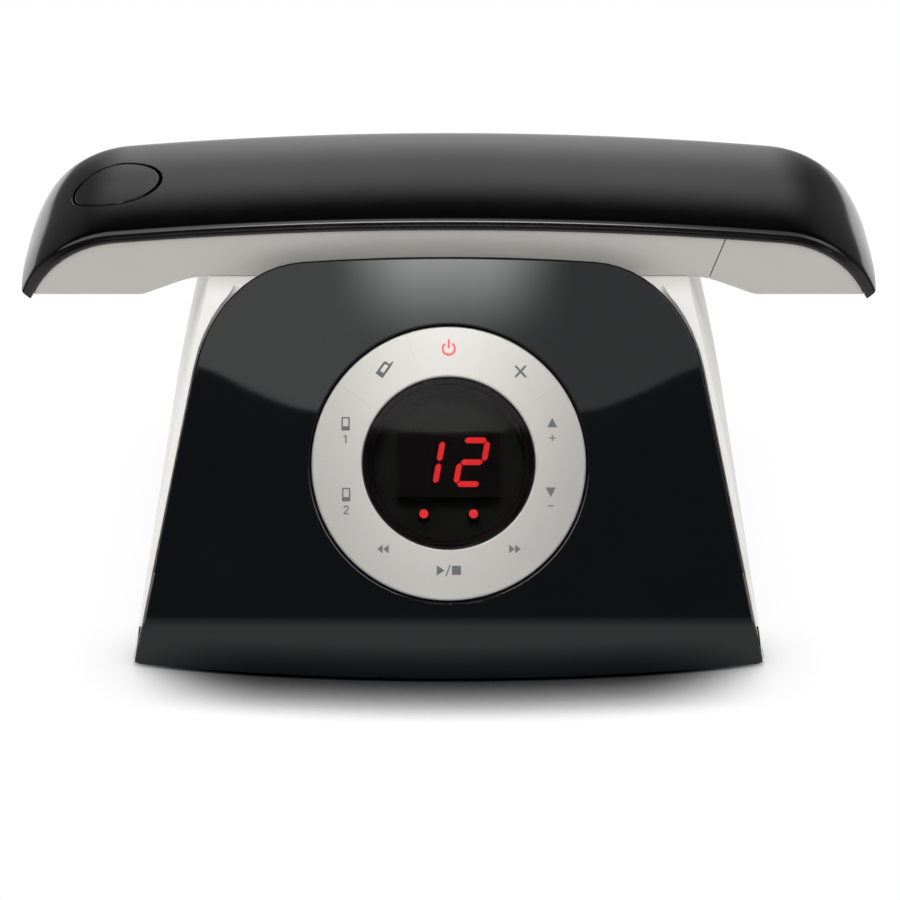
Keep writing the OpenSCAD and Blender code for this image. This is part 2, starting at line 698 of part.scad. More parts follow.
// The handset's cover: its crown, lowered and narrowed for the inside
function crown_line(half, drop) = [for (i = [0:crown_steps])
  let (y = half * (2 * i / crown_steps - 1)) [y, crown(y) - drop]];
module cover_section_sweep() {
  in_half = handset_half_w - cover_t;
  inner = crown_line(in_half, cover_t);
  sweep(concat([[-handset_half_w, -cover_lip]], crown_line(handset_half_w, 0),
    [[handset_half_w, -cover_lip], [in_half, -cover_lip]],
    [for (i = [crown_steps:-1:0]) inner[i]], [[-in_half, -cover_lip]]));
}
module cover_fill() sweep(concat([[-handset_half_w, -cover_lip]], crown_line(handset_half_w, 0),
  [[handset_half_w, -cover_lip]]));
module at_hand_screws() for (sx = [-1, 1]) for (sy = [-1, 1])
  translate([sx * hand_screw_at[0], sy * hand_screw_at[1], 0]) children();
module at_button() translate([-button_at, 0, 0]) children();

module handset_top_cover() color([0.05, 0.05, 0.055]) in_handset() difference() {
  boss_top = spine(asin(hand_screw_at[0] / handset_arch_r))[1] + crown(hand_screw_at[1]) - cover_t / 2;
  union() {
    cover_section_sweep();
    at_hand_screws() translate([0, 0, hand_board_top])
      cylinder(r = post_r, h = boss_top - hand_board_top);
    intersection() {
      cover_fill();
      for (s = [-1, 1]) translate([(cell_x[0] + cell_x[1]) / 2, s * cell_l / 4, cell_z(cell_x[0])])
        block(cell_x[1] - cell_x[0], rib_t, 0, far);
    }
  }
  at_hand_screws() cylinder(r = screw_r + screw_gap, h = hand_screw_top + touch);
  at_button() cylinder(r = button_r + button_gap, h = far);
  at_cells() cylinder(r = cell_r + touch, h = cell_l, center = true);
}

// The lower shell and its battery door share one hollow form, split at a leaning seam
module lower_form() difference() {
  end = angle_at(-pad_drop, rim_h);
  in_h = rim_h - shell_t;
  in_end = angle_at(pad_floor_z, in_h);
  open_z = shell_t + fit;
  open_half = off_spine(angle_at(open_z, in_h), in_h)[0];
  along_y(-shell_half_w, shell_half_w)
    polygon(concat([for (phi = spine_angles(end)) off_spine(phi, rim_h)], underside(0)));
  along_y(shell_t - shell_half_w, shell_half_w - shell_t) {
    polygon(concat([for (phi = spine_angles(in_end)) off_spine(phi, in_h)], underside(shell_t)));
    translate([-open_half, open_z]) square([2 * open_half, far]);
  }
}
module beyond_seam(shift) along_y(-far, far) translate([seam_x + shift, 0])
  polygon([[-far * seam_lean, -far], [far * seam_lean, far], [2 * far, far], [2 * far, -far]]);

module handset_lower_shell() color([0.72, 0.72, 0.71]) in_handset() difference() {
  union() {
    difference() {
      lower_form();
      beyond_seam(0);
    }
    at_hand_screws() cylinder(r = post_r, h = hand_board_z);
  }
  cut_h = shell_t + 2 * over;
  at_hand_screws() translate([0, 0, -over]) {
    cylinder(r = screw_r + screw_gap, h = far);
    cylinder(r = screw_head_r + screw_gap, h = hand_screw_sink + over);
  }
  at_pad_keys() block(pad_key_l + 2 * pad_key_gap, pad_key_w + 2 * pad_key_gap, -over, cut_h);
  translate([window_at, 0, 0]) block(window_size[0] + 2 * fit, window_size[1] + 2 * fit, -over, cut_h);
  translate([mic_x, 0, -over]) cylinder(r = mic_hole_r, h = cut_h);
  for (i = [0:ear_slots - 1]) translate([ear_x, (i - (ear_slots - 1) / 2) * ear_slot_pitch, -pad_drop])
    block(3 * ear_slot_pitch, 0.4 * ear_slot_pitch, -over, cut_h);
  at_plates() block(plate_size[0] + 2 * fit, plate_size[1] + 2 * fit, -over, over + contact_t + fit);
}
module at_plates() for (s = [-1, 1]) translate([contact_x, s * contact_y, 0]) children();
function row_x(row) = row == 0 ? first_row_x : digit_row_x + (row - 1) * row_pitch;
module at_pad_key(k) translate([row_x(floor(k / 3)), (1 - k % 3) * column_pitch, 0]) children();
module at_pad_keys() for (k = [0:len(pad_names) - 1]) at_pad_key(k) children();

module battery_door() color([0.72, 0.72, 0.71]) in_handset() intersection() {
  lower_form();
  beyond_seam(door_gap);
}

module at_cells() for (x = cell_x) translate([x, 0, cell_z(x)]) rotate([90, 0, 0]) children();
module battery_pack() color("seagreen") in_handset() at_cells()
  cylinder(r = cell_r, h = cell_l, center = true);

module handset_board() color("darkgreen") in_handset() difference() {
  translate([hand_board_ends[0], -hand_board_half_w, hand_board_z])
    cube([hand_board_ends[1] - hand_board_ends[0], 2 * hand_board_half_w, hand_board_t]);
  at_hand_screws() cylinder(r = screw_r + screw_gap, h = far);
}

module handset_switches() color([0.2, 0.2, 0.2]) in_handset() {
  at_pad_keys() translate([0, 0, hand_board_z - hand_switch_h]) difference() {
    block(switch_w, switch_w, 0, hand_switch_h);
    translate([0, 0, -over]) cylinder(r = pad_stem_r + fit, h = hand_switch_h + over - bore_roof);
  }
  at_button() translate([0, 0, hand_board_top]) difference() {
    block(switch_w, switch_w, 0, button_switch_h);
    translate([0, 0, button_bore_floor]) cylinder(r = pad_stem_r + fit, h = button_switch_h);
  }
}

module earpiece() color([0.3, 0.3, 0.32]) in_handset() translate([ear_x, 0, pad_floor_z + touch]) {
  cylinder(r = ear_r, h = ear_h / 2);
  translate([0, 0, ear_h / 2]) cylinder(r = 0.7 * ear_r, h = ear_h / 2);
}

module microphone() color("silver") in_handset() translate([mic_x, 0, shell_t + touch])
  cylinder(r = mic_r, h = mic_h);

module lcd_window() color([0.1, 0.12, 0.14]) in_handset() translate([window_at, 0, window_recess])
  block(window_size[0], window_size[1], 0, window_t);

module lcd_module() color([0.6, 0.65, 0.6]) in_handset() translate([window_at, 0, 0])
  block(module_size[0], module_size[1], shell_t + touch, module_size[2]);

module charge_plates() color("gold") in_handset() at_plates()
  block(plate_size[0], plate_size[1], 0, contact_t);

module handset_screws() color("silver") in_handset() at_hand_screws() {
  translate([0, 0, hand_screw_sink - hand_screw_head_h]) cylinder(r = screw_head_r, h = hand_screw_head_h);
  translate([0, 0, hand_screw_sink]) cylinder(r = screw_r, h = hand_screw_top - hand_screw_sink);
}

// The round button's face is cut from the same sweep as the cover
module round_button() color([0.07, 0.07, 0.075]) in_handset() {
  difference() {
    intersection() {
      cover_fill();
      at_button() translate([0, 0, button_floor]) cylinder(r = button_r, h = far);
    }
    intersection() {
      translate([0, 0, -button_t]) cover_fill();
      at_button() cylinder(r = button_r - button_t, h = far);
    }
  }
  stem_z = hand_board_top + button_travel + button_stem_gap;
  at_button() translate([0, 0, stem_z]) cylinder(r = pad_stem_r, h = button_top - button_t / 2 - stem_z);
}

// One keypad key on the underside: cap, flange and stem
module pad_key(k) color([0.85, 0.85, 0.84]) in_handset() at_pad_key(k) {
  flange_z = shell_t + touch;
  block(pad_key_l, pad_key_w, -pad_key_rise, flange_z + pad_key_rise);
  block(pad_key_l + 2 * pad_flange, pad_key_w, flange_z, pad_flange_t);
  translate([0, 0, flange_z])
    cylinder(r = pad_stem_r, h = hand_board_z - hand_switch_h + pad_stem_in - flange_z);
}

base_shell();
front_panel();
bottom_cover();
rubber_feet();
base_screws();
display_lens();
display_bezel();
led_display();
indicator_leds();
main_board();
board_screws();
key_switches();
base_speaker();
jack_board();
power_jack();
line_jack();
charge_springs();
antenna();
handset_top_cover();
handset_lower_shell();
battery_door();
battery_pack();
handset_board();
handset_switches();
earpiece();
microphone();
lcd_window();
lcd_module();
charge_plates();
handset_screws();
round_button();
for (i = [0:len(ring_names) - 1]) ring_key(i);
for (k = [0:len(pad_names) - 1]) pad_key(k);
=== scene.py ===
import math

import bmesh
import bpy
from mathutils import Matrix, Vector


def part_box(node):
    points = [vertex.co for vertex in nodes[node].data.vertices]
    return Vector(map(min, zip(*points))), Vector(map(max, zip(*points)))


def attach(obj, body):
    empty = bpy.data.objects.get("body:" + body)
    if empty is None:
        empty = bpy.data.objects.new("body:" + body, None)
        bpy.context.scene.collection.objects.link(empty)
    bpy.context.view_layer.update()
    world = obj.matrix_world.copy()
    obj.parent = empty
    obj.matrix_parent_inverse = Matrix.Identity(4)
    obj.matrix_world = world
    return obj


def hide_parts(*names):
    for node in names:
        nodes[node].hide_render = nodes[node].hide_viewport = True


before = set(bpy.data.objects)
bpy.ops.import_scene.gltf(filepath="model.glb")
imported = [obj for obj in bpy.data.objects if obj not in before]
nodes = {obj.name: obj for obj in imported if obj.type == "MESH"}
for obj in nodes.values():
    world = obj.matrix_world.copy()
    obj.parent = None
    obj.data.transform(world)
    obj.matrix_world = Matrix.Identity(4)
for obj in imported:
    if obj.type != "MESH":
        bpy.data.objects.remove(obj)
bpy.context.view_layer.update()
mm = 0.001
print("frame loaded,", len(nodes), "nodes")


# camera: a long lens, well back, looking down on the table
camera = {"place": (0.0003, -0.5908, 0.4043), "down": 32.377, "lens": 113.94, "sensor": 36}
cameraData = bpy.data.cameras.new("studioCamera")
cameraData.lens = camera["lens"]
cameraData.sensor_width = camera["sensor"]
cameraObject = bpy.data.objects.new("studioCamera", cameraData)
cameraObject.location = camera["place"]
cameraObject.rotation_euler = (math.radians(90 - camera["down"]), 0, 0)
bpy.context.scene.collection.objects.link(cameraObject)
bpy.context.scene.camera = cameraObject
print("camera set")


# materials: an sRGB colour as it is picked, turned to the linear value that a shader takes
def linear(hexText):
    parts = [int(hexText[i:i + 2], 16) / 255 for i in (1, 3, 5)]
    curved = [c / 12.92 if c <= 0.04045 else ((c + 0.055) / 1.055) ** 2.4 for c in parts]
    return (*curved, 1)


def addNode(tree, kind, props=None, values=None, links=()):
    node = tree.nodes.new(kind)
    for name, value in (props or {}).items():
        setattr(node, name, value)
    for name, value in (values or {}).items():
        node.inputs[name].default_value = value
    for source, output, target in links:
        tree.links.new(source.outputs[output], node.inputs[target])
    return node


# every material drifts slowly between two near tones; drift is in millimetres
def startMaterial(name, tones, drift, detail, shaderValues):
    material = bpy.data.materials.new(name)
    material.use_nodes = True
    tree = material.node_tree
    tree.nodes.clear()
    place = addNode(tree, "ShaderNodeTexCoord")
    cloud = addNode(tree, "ShaderNodeTexNoise",
                    values={"Scale": 1 / (drift * mm), "Detail": detail},
                    links=[(place, "Object", "Vector")])
    tint = addNode(tree, "ShaderNodeMix", props={"data_type": "RGBA"},
                   values={6: linear(tones[0]), 7: linear(tones[1])}, links=[(cloud, "Fac", 0)])
    shader = addNode(tree, "ShaderNodeBsdfPrincipled", values=shaderValues,
                     links=[(tint, 2, "Base Color")])
    addNode(tree, "ShaderNodeOutputMaterial", links=[(shader, "BSDF", "Surface")])
    return material, tree, shader, place, tint


# a moulded or painted skin: its grain, in millimetres, shows in the gloss and in the relief
skinNoise = {"drift": 18, "cloudDetail": 3, "speckDetail": 2, "span": (0.3, 0.7)}


def skin(name, tones, rough, grain, relief, drift=skinNoise["drift"], **shaderValues):
    material, tree, shader, place, _ = startMaterial(
        name, tones, drift, skinNoise["cloudDetail"], shaderValues)
    speck = addNode(tree, "ShaderNodeTexNoise",
                    values={"Scale": 1 / (grain * mm), "Detail": skinNoise["speckDetail"]},
                    links=[(place, "Object", "Vector")])
    low, high = skinNoise["span"]
    gloss = addNode(tree, "ShaderNodeMapRange",
                    values={"From Min": low, "From Max": high,
                            "To Min": rough[0], "To Max": rough[1]},
                    links=[(speck, "Fac", "Value")])
    tree.links.new(gloss.outputs["Result"], shader.inputs["Roughness"])
    bump = addNode(tree, "ShaderNodeBump",
                   values={"Strength": relief[0], "Distance": relief[1] * mm},
                   links=[(speck, "Fac", "Height")])
    tree.links.new(bump.outputs["Normal"], shader.inputs["Normal"])
    return material


# moulded ABS with a spark-eroded grain, so it looks pale and soft
# the grain is drawn about 0.4 mm, coarser than it is, to show at all
paleAbs = skin("mouldedPaleAbs", ("#e7e6e2", "#e1e0dc"), (0.42, 0.52), 0.4, (0.12, 0.02),
               IOR=1.53)
# the handset's lower half is a warmer, darker grey of the same grain
warmAbs = skin("mouldedWarmGreyAbs", ("#bdbbb6", "#b5b3ae"), (0.40, 0.50), 0.4, (0.12, 0.02),
               IOR=1.53)
# polished black ABS: mirror gloss with the slow ripple of a moulded face
# its IOR is set below that of bare ABS, so the mirror image stays dim
glossAbs = skin("polishedBlackAbs", ("#0a0d0e", "#0c0f10"), (0.015, 0.022), 9, (0.02, 0.02),
                IOR=1.37)
# the handset's cover has a softer polish than the panel, so its lights are blurred
coverAbs = skin("satinPolishedBlackAbs", ("#040404", "#060606"), (0.12, 0.15), 7, (0.02, 0.02),
                IOR=1.5)
# silver paint: metal flakes in a satin lacquer, drawn 0.25 mm, coarser than they are, to show
silverPaint = skin("silverFlakePaint", ("#a2a09c", "#9d9b97"), (0.28, 0.31), 0.25, (0.02, 0.005),
                   Metallic=0.45)
# matt black ABS behind the lens and under the base: it swallows light
mattAbs = skin("mattBlackAbs", ("#141415", "#191919"), (0.5, 0.62), 0.5, (0.25, 0.03), IOR=1.53)
# thermoplastic rubber: dull, with a coarse skin
footRubber = skin("dullRubber", ("#202021", "#2a2a2a"), (0.75, 0.88), 0.6, (0.4, 0.05), IOR=1.52)
# zinc plated steel: a bright metal, slightly clouded
zincSteel = skin("zincPlatedSteel", ("#b9bcc0", "#a3a6aa"), (0.28, 0.42), 0.3, (0.1, 0.01),
                 Metallic=1.0)
# gold flashed brass: a clean, warm metal
contactBrass = skin("goldFlashedBrass", ("#d8b46a", "#c9a354"), (0.22, 0.32), 0.4, (0.05, 0.01),
                    Metallic=1.0)
# epoxy glass board under green solder mask: the weave shows through, about 0.6 mm
maskedBoard = skin("greenSolderMaskBoard", ("#0f3d24", "#14502f"), (0.3, 0.42), 0.6, (0.2, 0.02),
                   IOR=1.55)
# pressed steel of a small speaker: grey and dull
speakerGrey = skin("pressedGreySteel", ("#4a4c50", "#3d3f43"), (0.4, 0.55), 0.5, (0.2, 0.02),
                   Metallic=0.4)
# moulded nylon of a line socket: off-white and waxy
ivoryNylon = skin("ivoryNylon", ("#dcd8cc", "#d2cec1"), (0.4, 0.5), 0.5, (0.1, 0.02), IOR=1.53)
# shrink sleeve of a cell: tight and shiny
cellSleeve = skin("greenShrinkSleeve", ("#1f7a4c", "#1a6a41"), (0.25, 0.35), 1.2, (0.1, 0.02),
                  IOR=1.5)
# reflective backing of a liquid crystal glass: flat and greenish
lcdBacking = skin("lcdGreyGlass", ("#8d958a", "#858d82"), (0.15, 0.2), 0.3, (0.02, 0.01), IOR=1.52)
# silicone keys with a soft-touch lacquer: pale and dry
keySilicone = skin("lacqueredSiliconeKey", ("#d9d9d6", "#d1d1ce"), (0.45, 0.56), 0.35,
                   (0.15, 0.02), IOR=1.45)
# screen-printed ink: slightly dry and uneven, grey on the ring and black on the keypad
greyInk = skin("greyScreenInk", ("#55585a", "#616466"), (0.5, 0.62), 0.25, (0.1, 0.005),
               drift=2, IOR=1.5)
darkInk = skin("blackScreenInk", ("#1c1d1e", "#262728"), (0.5, 0.62), 0.25, (0.1, 0.005),
               drift=2, IOR=1.5)
# tinted epoxy of a lamp, unlit: deep red and clear
redEpoxy = skin("redTintedEpoxy", ("#3a0607", "#480a0a"), (0.12, 0.2), 0.8, (0.05, 0.01), IOR=1.54)


# light diffused through a red lens: a warm core that varies a little along each bar
def glowing(name, tones, strength, spot):
    material, tree, shader, _, tint = startMaterial(
        name, tones, drift=spot, detail=1,
        shaderValues={"Roughness": 0.35, "Emission Strength": strength})
    tree.links.new(tint.outputs[2], shader.inputs["Emission Color"])
    return material


redBars = glowing("litRedDiffuser", ("#ff3a3c", "#f0282c"), strength=2.6, spot=1.5)
redLamp = glowing("litRedLamp", ("#ff4a4a", "#fb3036"), strength=2.6, spot=1.0)
redIcon = glowing("litRedIcon", ("#e4474a", "#d83c40"), strength=0.75, spot=0.6)

# smoked acrylic: polished, and dark enough to hide what isn't lit
# a low IOR keeps its mirror image faint
smoked, *_ = startMaterial(
    "smokedAcrylic", ("#8c8486", "#8a8284"), drift=12, detail=2,
    shaderValues={"Transmission Weight": 1.0, "IOR": 1.24, "Roughness": 0.02})
print("materials made")


# how near two vertices are merged: metres, but millimetres for a mark
merge = {"piece": 1e-7, "copy": 2e-6, "mark": 1e-5}


def vertsOf(geom):
    return [g for g in geom if isinstance(g, bmesh.types.BMVert)]


def edgesOf(geom):
    return [g for g in geom if isinstance(g, bmesh.types.BMEdge)]


def drawOut(bm, faces):
    return vertsOf(bmesh.ops.extrude_face_region(bm, geom=faces)["geom"])


# an open sheet's faces all one way, looking towards the given side
def faceTowards(bm, side):
    bmesh.ops.recalc_face_normals(bm, faces=bm.faces)
    if sum(f.normal.dot(side) for f in bm.faces) < 0:
        bmesh.ops.reverse_faces(bm, faces=bm.faces)


# a disc made of rings, so that it can follow a curve
def ringedDisc(radii, segments):
    bm = bmesh.new()
    bmesh.ops.create_circle(bm, cap_ends=False, segments=segments, radius=radii[0])
    edges = bm.edges[:]
    for wide, narrow in zip(radii, radii[1:]):
        inner = bmesh.ops.extrude_edge_only(bm, edges=edges)["geom"]
        edges = edgesOf(inner)
        bmesh.ops.scale(bm, verts=vertsOf(inner), vec=(narrow / wide, narrow / wide, 1))
    bmesh.ops.contextual_create(bm, geom=edges)
    return bm


def layOn(bm, surface):
    for v in bm.verts:
        v.co = surface(v.co)


def clamped(value):
    return min(max(value, 0), 1)


# from a bmesh to a named piece on its body
def finishPiece(name, bm, material, body, stands=(), angle=30):
    bmesh.ops.remove_doubles(bm, verts=bm.verts, dist=merge["piece"])
    mesh = bpy.data.meshes.new(name)
    bm.to_mesh(mesh)
    bm.free()
    mesh.materials.append(material)
    mesh.shade_smooth()
    mesh.set_sharp_from_angle(angle=math.radians(angle))
    piece = bpy.data.objects.new(name, mesh)
    bpy.context.scene.collection.objects.link(piece)
    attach(piece, body)
    if stands:
        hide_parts(*stands)
    return piece


def addModifier(piece, kind, **settings):
    modifier = piece.modifiers.new(kind.title(), kind)
    for name, value in settings.items():
        setattr(modifier, name, value)


# the edges of a moulded part are never knife sharp: a rounding that catches the light
def roundEdges(piece, width, segments, angle, limit="ANGLE"):
    addModifier(piece, "BEVEL", width=width * mm, segments=segments, limit_method=limit,
                angle_limit=math.radians(angle), profile=0.5, use_clamp_overlap=False,
                harden_normals=True)


# a copy of a CAD node with its flat faces joined and its edges rounded, or only its outer edges
softAngles = {"flat": 0.4, "sharp": 35}


def softCopy(node, name, material, body, width, segments, outerOnly=False):
    bm = bmesh.new()
    bm.from_mesh(nodes[node].data)
    bmesh.ops.remove_doubles(bm, verts=bm.verts, dist=merge["copy"])
    bmesh.ops.dissolve_limit(bm, angle_limit=math.radians(softAngles["flat"]), verts=bm.verts,
                             edges=bm.edges)
    bm.normal_update()
    if outerOnly:
        weights = bm.edges.layers.float.new("bevel_weight_edge")
        sharp = math.radians(softAngles["sharp"])
        for e in bm.edges:
            e[weights] = e.is_manifold and e.is_convex and e.calc_face_angle() > sharp
    piece = finishPiece(name, bm, material, body, stands=[node])
    roundEdges(piece, width, segments, softAngles["sharp"], "WEIGHT" if outerOnly else "ANGLE")
    return piece


# the leaning panel's frame, in millimetres: x to the right, rise up the slope, out of the face
lean = math.radians(38)
upSlope = Vector((0, math.sin(lean), math.cos(lean)))
outward = Vector((0, -math.cos(lean), math.sin(lean)))
crease = Vector((0, -55, 16.5))
bowRadius = 372
ringRise = 37.8


def bow(x):
    return bowRadius - math.sqrt(bowRadius ** 2 - x ** 2)


def onPanel(x, rise, out):
    return (crease + Vector((x, 0, 0)) + upSlope * rise + outward * out) * mm


def onRing(point):
    return onPanel(point.x, ringRise + point.y, point.z)


# front panel: an outline loop, drawn in to the ring's hole, bent over the bow,
# then led round the crease and down to the table
panel = {"footHalf": 74.3, "shoulderHalf": 55.95, "ground": 0.8, "shoulder": 76.5, "top": 84.4,
         "archRadius": 350, "cornerRadius": 29, "holeRadius": 32.5, "turnRadius": 10,
         "thick": 2.2, "edge": 0.45, "edgeSegments": 3, "edgeAngle": 40,
         "footRound": 1.8, "footSegments": 5, "flare": 0.3, "flareFrom": 14, "flareTo": 6,
         "stepWide": 0.45, "stepDeep": 0.7, "stepFade": (19, 40), "holeClear": 1,
         "sideSteps": 12, "foldSteps": 30, "turnSteps": 12, "skirtSteps": 5, "rows": 5,
         "sideFits": 8, "turnFits": 4, "foldMatch": 1e-4}
taper = (panel["footHalf"] - panel["shoulderHalf"]) / (panel["shoulder"] - panel["ground"])
widestHalf = panel["footHalf"] + taper * panel["ground"]
tangent = panel["turnRadius"] * math.tan(lean / 2)
ringMiddle = onPanel(0, ringRise, 0)


def halfAt(z):
    return widestHalf - taper * z


# below the crease the panel widens a little, over the shell's edge
def skirtHalf(z):
    part = clamped((panel["flareFrom"] - z) / (panel["flareFrom"] - panel["flareTo"]))
    return halfAt(z) + panel["flare"] * part * part * (3 - 2 * part)


# the outline's right half as x and height: a straight side, a corner arc, half of the arch
def panelSide(count):
    r, big, drop = panel["cornerRadius"], panel["archRadius"], panel["archRadius"] - panel["top"]
    # the corner's middle lies one radius inside the side and one inside the arch
    a = 1 + taper ** 2
    q = widestHalf - r * math.sqrt(a)
    h = drop - taper * q
    cz = (-h + math.sqrt(h * h - a * (q * q + drop ** 2 - (big - r) ** 2))) / a
    cx = q - taper * cz
    low, high = math.atan(taper), math.atan2(cz + drop, cx)
    footX, footZ = cx + r * math.cos(low), cz + r * math.sin(low)
    startZ = crease.z
    for _ in range(panel["sideFits"]):
        startX = halfAt(startZ)
        startZ = crease.z + tangent * math.cos(lean) - math.sin(lean) * bow(startX)
    parts = [i / count for i in range(count)]
    side = [(startX + (footX - startX) * p, startZ + (footZ - startZ) * p) for p in parts]
    cornerTurns = [low + (high - low) * p for p in parts]
    corner = [(cx + r * math.cos(t), cz + r * math.sin(t)) for t in cornerTurns]
    archTurns = [high + (math.pi / 2 - high) * p for p in parts + [1]]
    arch = [(big * math.cos(t), big * math.sin(t) - drop) for t in archTurns]
    return side + corner + arch, startX


def riseAt(x, z):
    return (z - crease.z + math.sin(lean) * bow(x)) / math.cos(lean)


# a point of the turn below the leaning face, at a share of the half width
def onTurn(share, angle, startHalf):
    x = share * startHalf
    for _ in range(panel["turnFits"]):
        face = onPanel(x, tangent, -bow(x)) / mm
        swung = Vector((0, -math.cos(lean - angle), math.sin(lean - angle))) - outward
        point = face + swung * panel["turnRadius"]
        x = share * skirtHalf(point.z)
    return Vector((x, point.y, point.z)) * mm


sidePoints, startHalf = panelSide(panel["sideSteps"])
rightLoop = [(x, riseAt(x, z)) for x, z in sidePoints]
foldShares = [2 * i / panel["foldSteps"] - 1 for i in range(1, panel["foldSteps"])]
foldLine = [(startHalf * part, tangent) for part in foldShares]
loop = foldLine + rightLoop + [(-x, rise) for x, rise in reversed(rightLoop[:-1])]
bm = bmesh.new()
outer = [bm.verts.new((x, rise, 0)) for x, rise in loop]
rim = [bm.edges.new((outer[i - 1], outer[i])) for i in range(len(outer))]
drawn = bmesh.ops.extrude_edge_only(bm, edges=rim)["geom"]
centre = Vector((0, ringRise, 0))
for v in vertsOf(drawn):
    v.co = centre + (v.co - centre).normalized() * panel["holeRadius"]
outerSet = set(outer)
spokes = [e for e in bm.edges if (e.verts[0] in outerSet) != (e.verts[1] in outerSet)]
bmesh.ops.subdivide_edges(bm, edges=spokes, cuts=panel["rows"])
folds = [e for e in rim if all(abs(v.co.y - tangent) < panel["foldMatch"] for v in e.verts)]
layOn(bm, lambda point: onPanel(point.x, point.y, -bow(point.x)))
# the fold is led on, first round the turn and then straight down
share = {v: v.co.x / mm / startHalf for e in folds for v in e.verts}
turnEnd = {}
for step in range(1, panel["turnSteps"] + panel["skirtSteps"] + 1):
    before = {share[v]: v for e in folds for v in e.verts}
    led = bmesh.ops.extrude_edge_only(bm, edges=folds)["geom"]
    folds = edgesOf(led)
    for v in vertsOf(led):
        part = min(before, key=lambda known: abs(before[known].co.x - v.co.x))
        share[v] = part
        if step <= panel["turnSteps"]:
            v.co = onTurn(part, lean * step / panel["turnSteps"], startHalf)
            turnEnd[part] = v.co.z
        else:
            down = (step - panel["turnSteps"]) / panel["skirtSteps"]
            z = turnEnd[part] + (panel["ground"] * mm - turnEnd[part]) * down
            x = part * skirtHalf(z / mm)
            v.co = Vector((x, crease.y + math.cos(lean) * bow(x), z / mm)) * mm
footVerts = sorted({v for e in folds for v in e.verts}, key=lambda v: v.co.x)
bmesh.ops.bevel(bm, geom=[footVerts[0], footVerts[-1]], offset=panel["footRound"] * mm,
                segments=panel["footSegments"], profile=0.5, affect="VERTICES", material=-1)
faceTowards(bm, Vector((0, -1, 0)))
# a stepped edge up the sides and over the top, so a dark line parts the panel from the shell
fadeLow, fadeHigh = panel["stepFade"]
holeEnd = (panel["holeRadius"] + panel["holeClear"]) * mm
outline = [e for e in bm.edges if e.is_boundary
           and min((v.co - ringMiddle).length for v in e.verts) > holeEnd
           and min(v.co.z for v in e.verts) > fadeLow * mm]
away = {}
for v in {v for e in outline for v in e.verts}:
    ends = [e.other_vert(v).co for e in v.link_edges if e in outline]
    along = (ends[0] - (ends[1] if len(ends) > 1 else v.co)).normalized()
    inside = sum((f.calc_center_median() for f in v.link_faces), Vector()) / len(v.link_faces)
    out = (v.co - inside) - along * (v.co - inside).dot(along)
    away[v] = (out - v.normal * out.dot(v.normal)).normalized()
stepped = bmesh.ops.extrude_edge_only(bm, edges=outline)["geom"]
for v in vertsOf(stepped):
    root = next(e.other_vert(v) for e in v.link_edges if e.other_vert(v) in away)
    amount = clamped((root.co.z / mm - fadeLow) / (fadeHigh - fadeLow)) * mm
    v.co = root.co + (away[root] * panel["stepWide"] - root.normal * panel["stepDeep"]) * amount
faceTowards(bm, Vector((0, -1, 0)))
panelPiece = finishPiece("glossPanel", bm, glossAbs, "base",
                         stands=["front_panel"])
addModifier(panelPiece, "SOLIDIFY", thickness=panel["thick"] * mm, offset=-1,
            use_even_offset=True)
roundEdges(panelPiece, panel["edge"], panel["edgeSegments"], panel["edgeAngle"])
print("front panel bent")


# ring of ten keys: one patch of a flat ring each, bowed with the panel, with a softened rim
ring = {"inner": 20.2, "outer": 32.1, "depth": 5.2, "gap": 0.015, "step": 36, "across": 16,
        "edge": 0.35, "edgeSegments": 4, "rowsAt": (0, 0.034, 0.27, 0.5, 0.73, 0.966, 1),
        "stemRadius": 1.5, "stemDepth": 9.8, "stemSegments": 24}
keyNames = ["key_answer", "key_delete", "key_volume_up", "key_volume_down", "key_skip",
            "key_play", "key_repeat", "key_cell_two", "key_cell_one", "key_find"]
ringMean = (ring["inner"] + ring["outer"]) / 2
keySpan = math.radians(ring["step"]) - ring["gap"] / ringMean
lastRow = len(ring["rowsAt"]) - 1
for i, key in enumerate(keyNames):
    middle = math.radians(90 - i * ring["step"])
    bm = bmesh.new()
    bmesh.ops.create_grid(bm, x_segments=ring["across"], y_segments=lastRow, size=1)
    radii = {}
    for v in bm.verts:
        angle = middle + v.co.x * keySpan / 2
        row = ring["rowsAt"][round((v.co.y + 1) / 2 * lastRow)]
        r = radii[v] = ring["inner"] + row * (ring["outer"] - ring["inner"])
        x = r * math.cos(angle)
        v.co = Vector((x, r * math.sin(angle), -bow(x)))
    rimEdges = [e for e in bm.edges
                if e.is_boundary and radii[e.verts[0]] == radii[e.verts[1]]]
    for v in drawOut(bm, bm.faces[:]):
        v.co.z = -ring["depth"]
    bmesh.ops.recalc_face_normals(bm, faces=bm.faces)
    bmesh.ops.bevel(bm, geom=[e for e in rimEdges if e.is_valid], offset=ring["edge"],
                    segments=ring["edgeSegments"], profile=0.5, affect="EDGES", material=-1)
    stem = Matrix.Translation((ringMean * math.cos(middle), ringMean * math.sin(middle),
                               -(ring["depth"] + ring["stemDepth"]) / 2))
    bmesh.ops.create_cone(bm, cap_ends=True, segments=ring["stemSegments"],
                          radius1=ring["stemRadius"], radius2=ring["stemRadius"],
                          depth=ring["stemDepth"] - ring["depth"], matrix=stem)
    layOn(bm, onRing)
    finishPiece(key + "_cap", bm, silverPaint, key, stands=[key])
print("ring of keys made")


# printed marks: flat shapes a few hundredths of a millimetre thick, drawn in millimetres
marks = {"thick": 0.03, "sunk": 0.01, "bold": 0.52, "stroke": 0.5, "thin": 0.32, "fine": 0.28,
         "phoneTop": 0.1, "phoneFilled": 0.35, "handsetTilt": -36, "arcSteps": 24}


def shape(bm, points):
    bm.faces.new([bm.verts.new((x, y, 0)) for x, y in points])


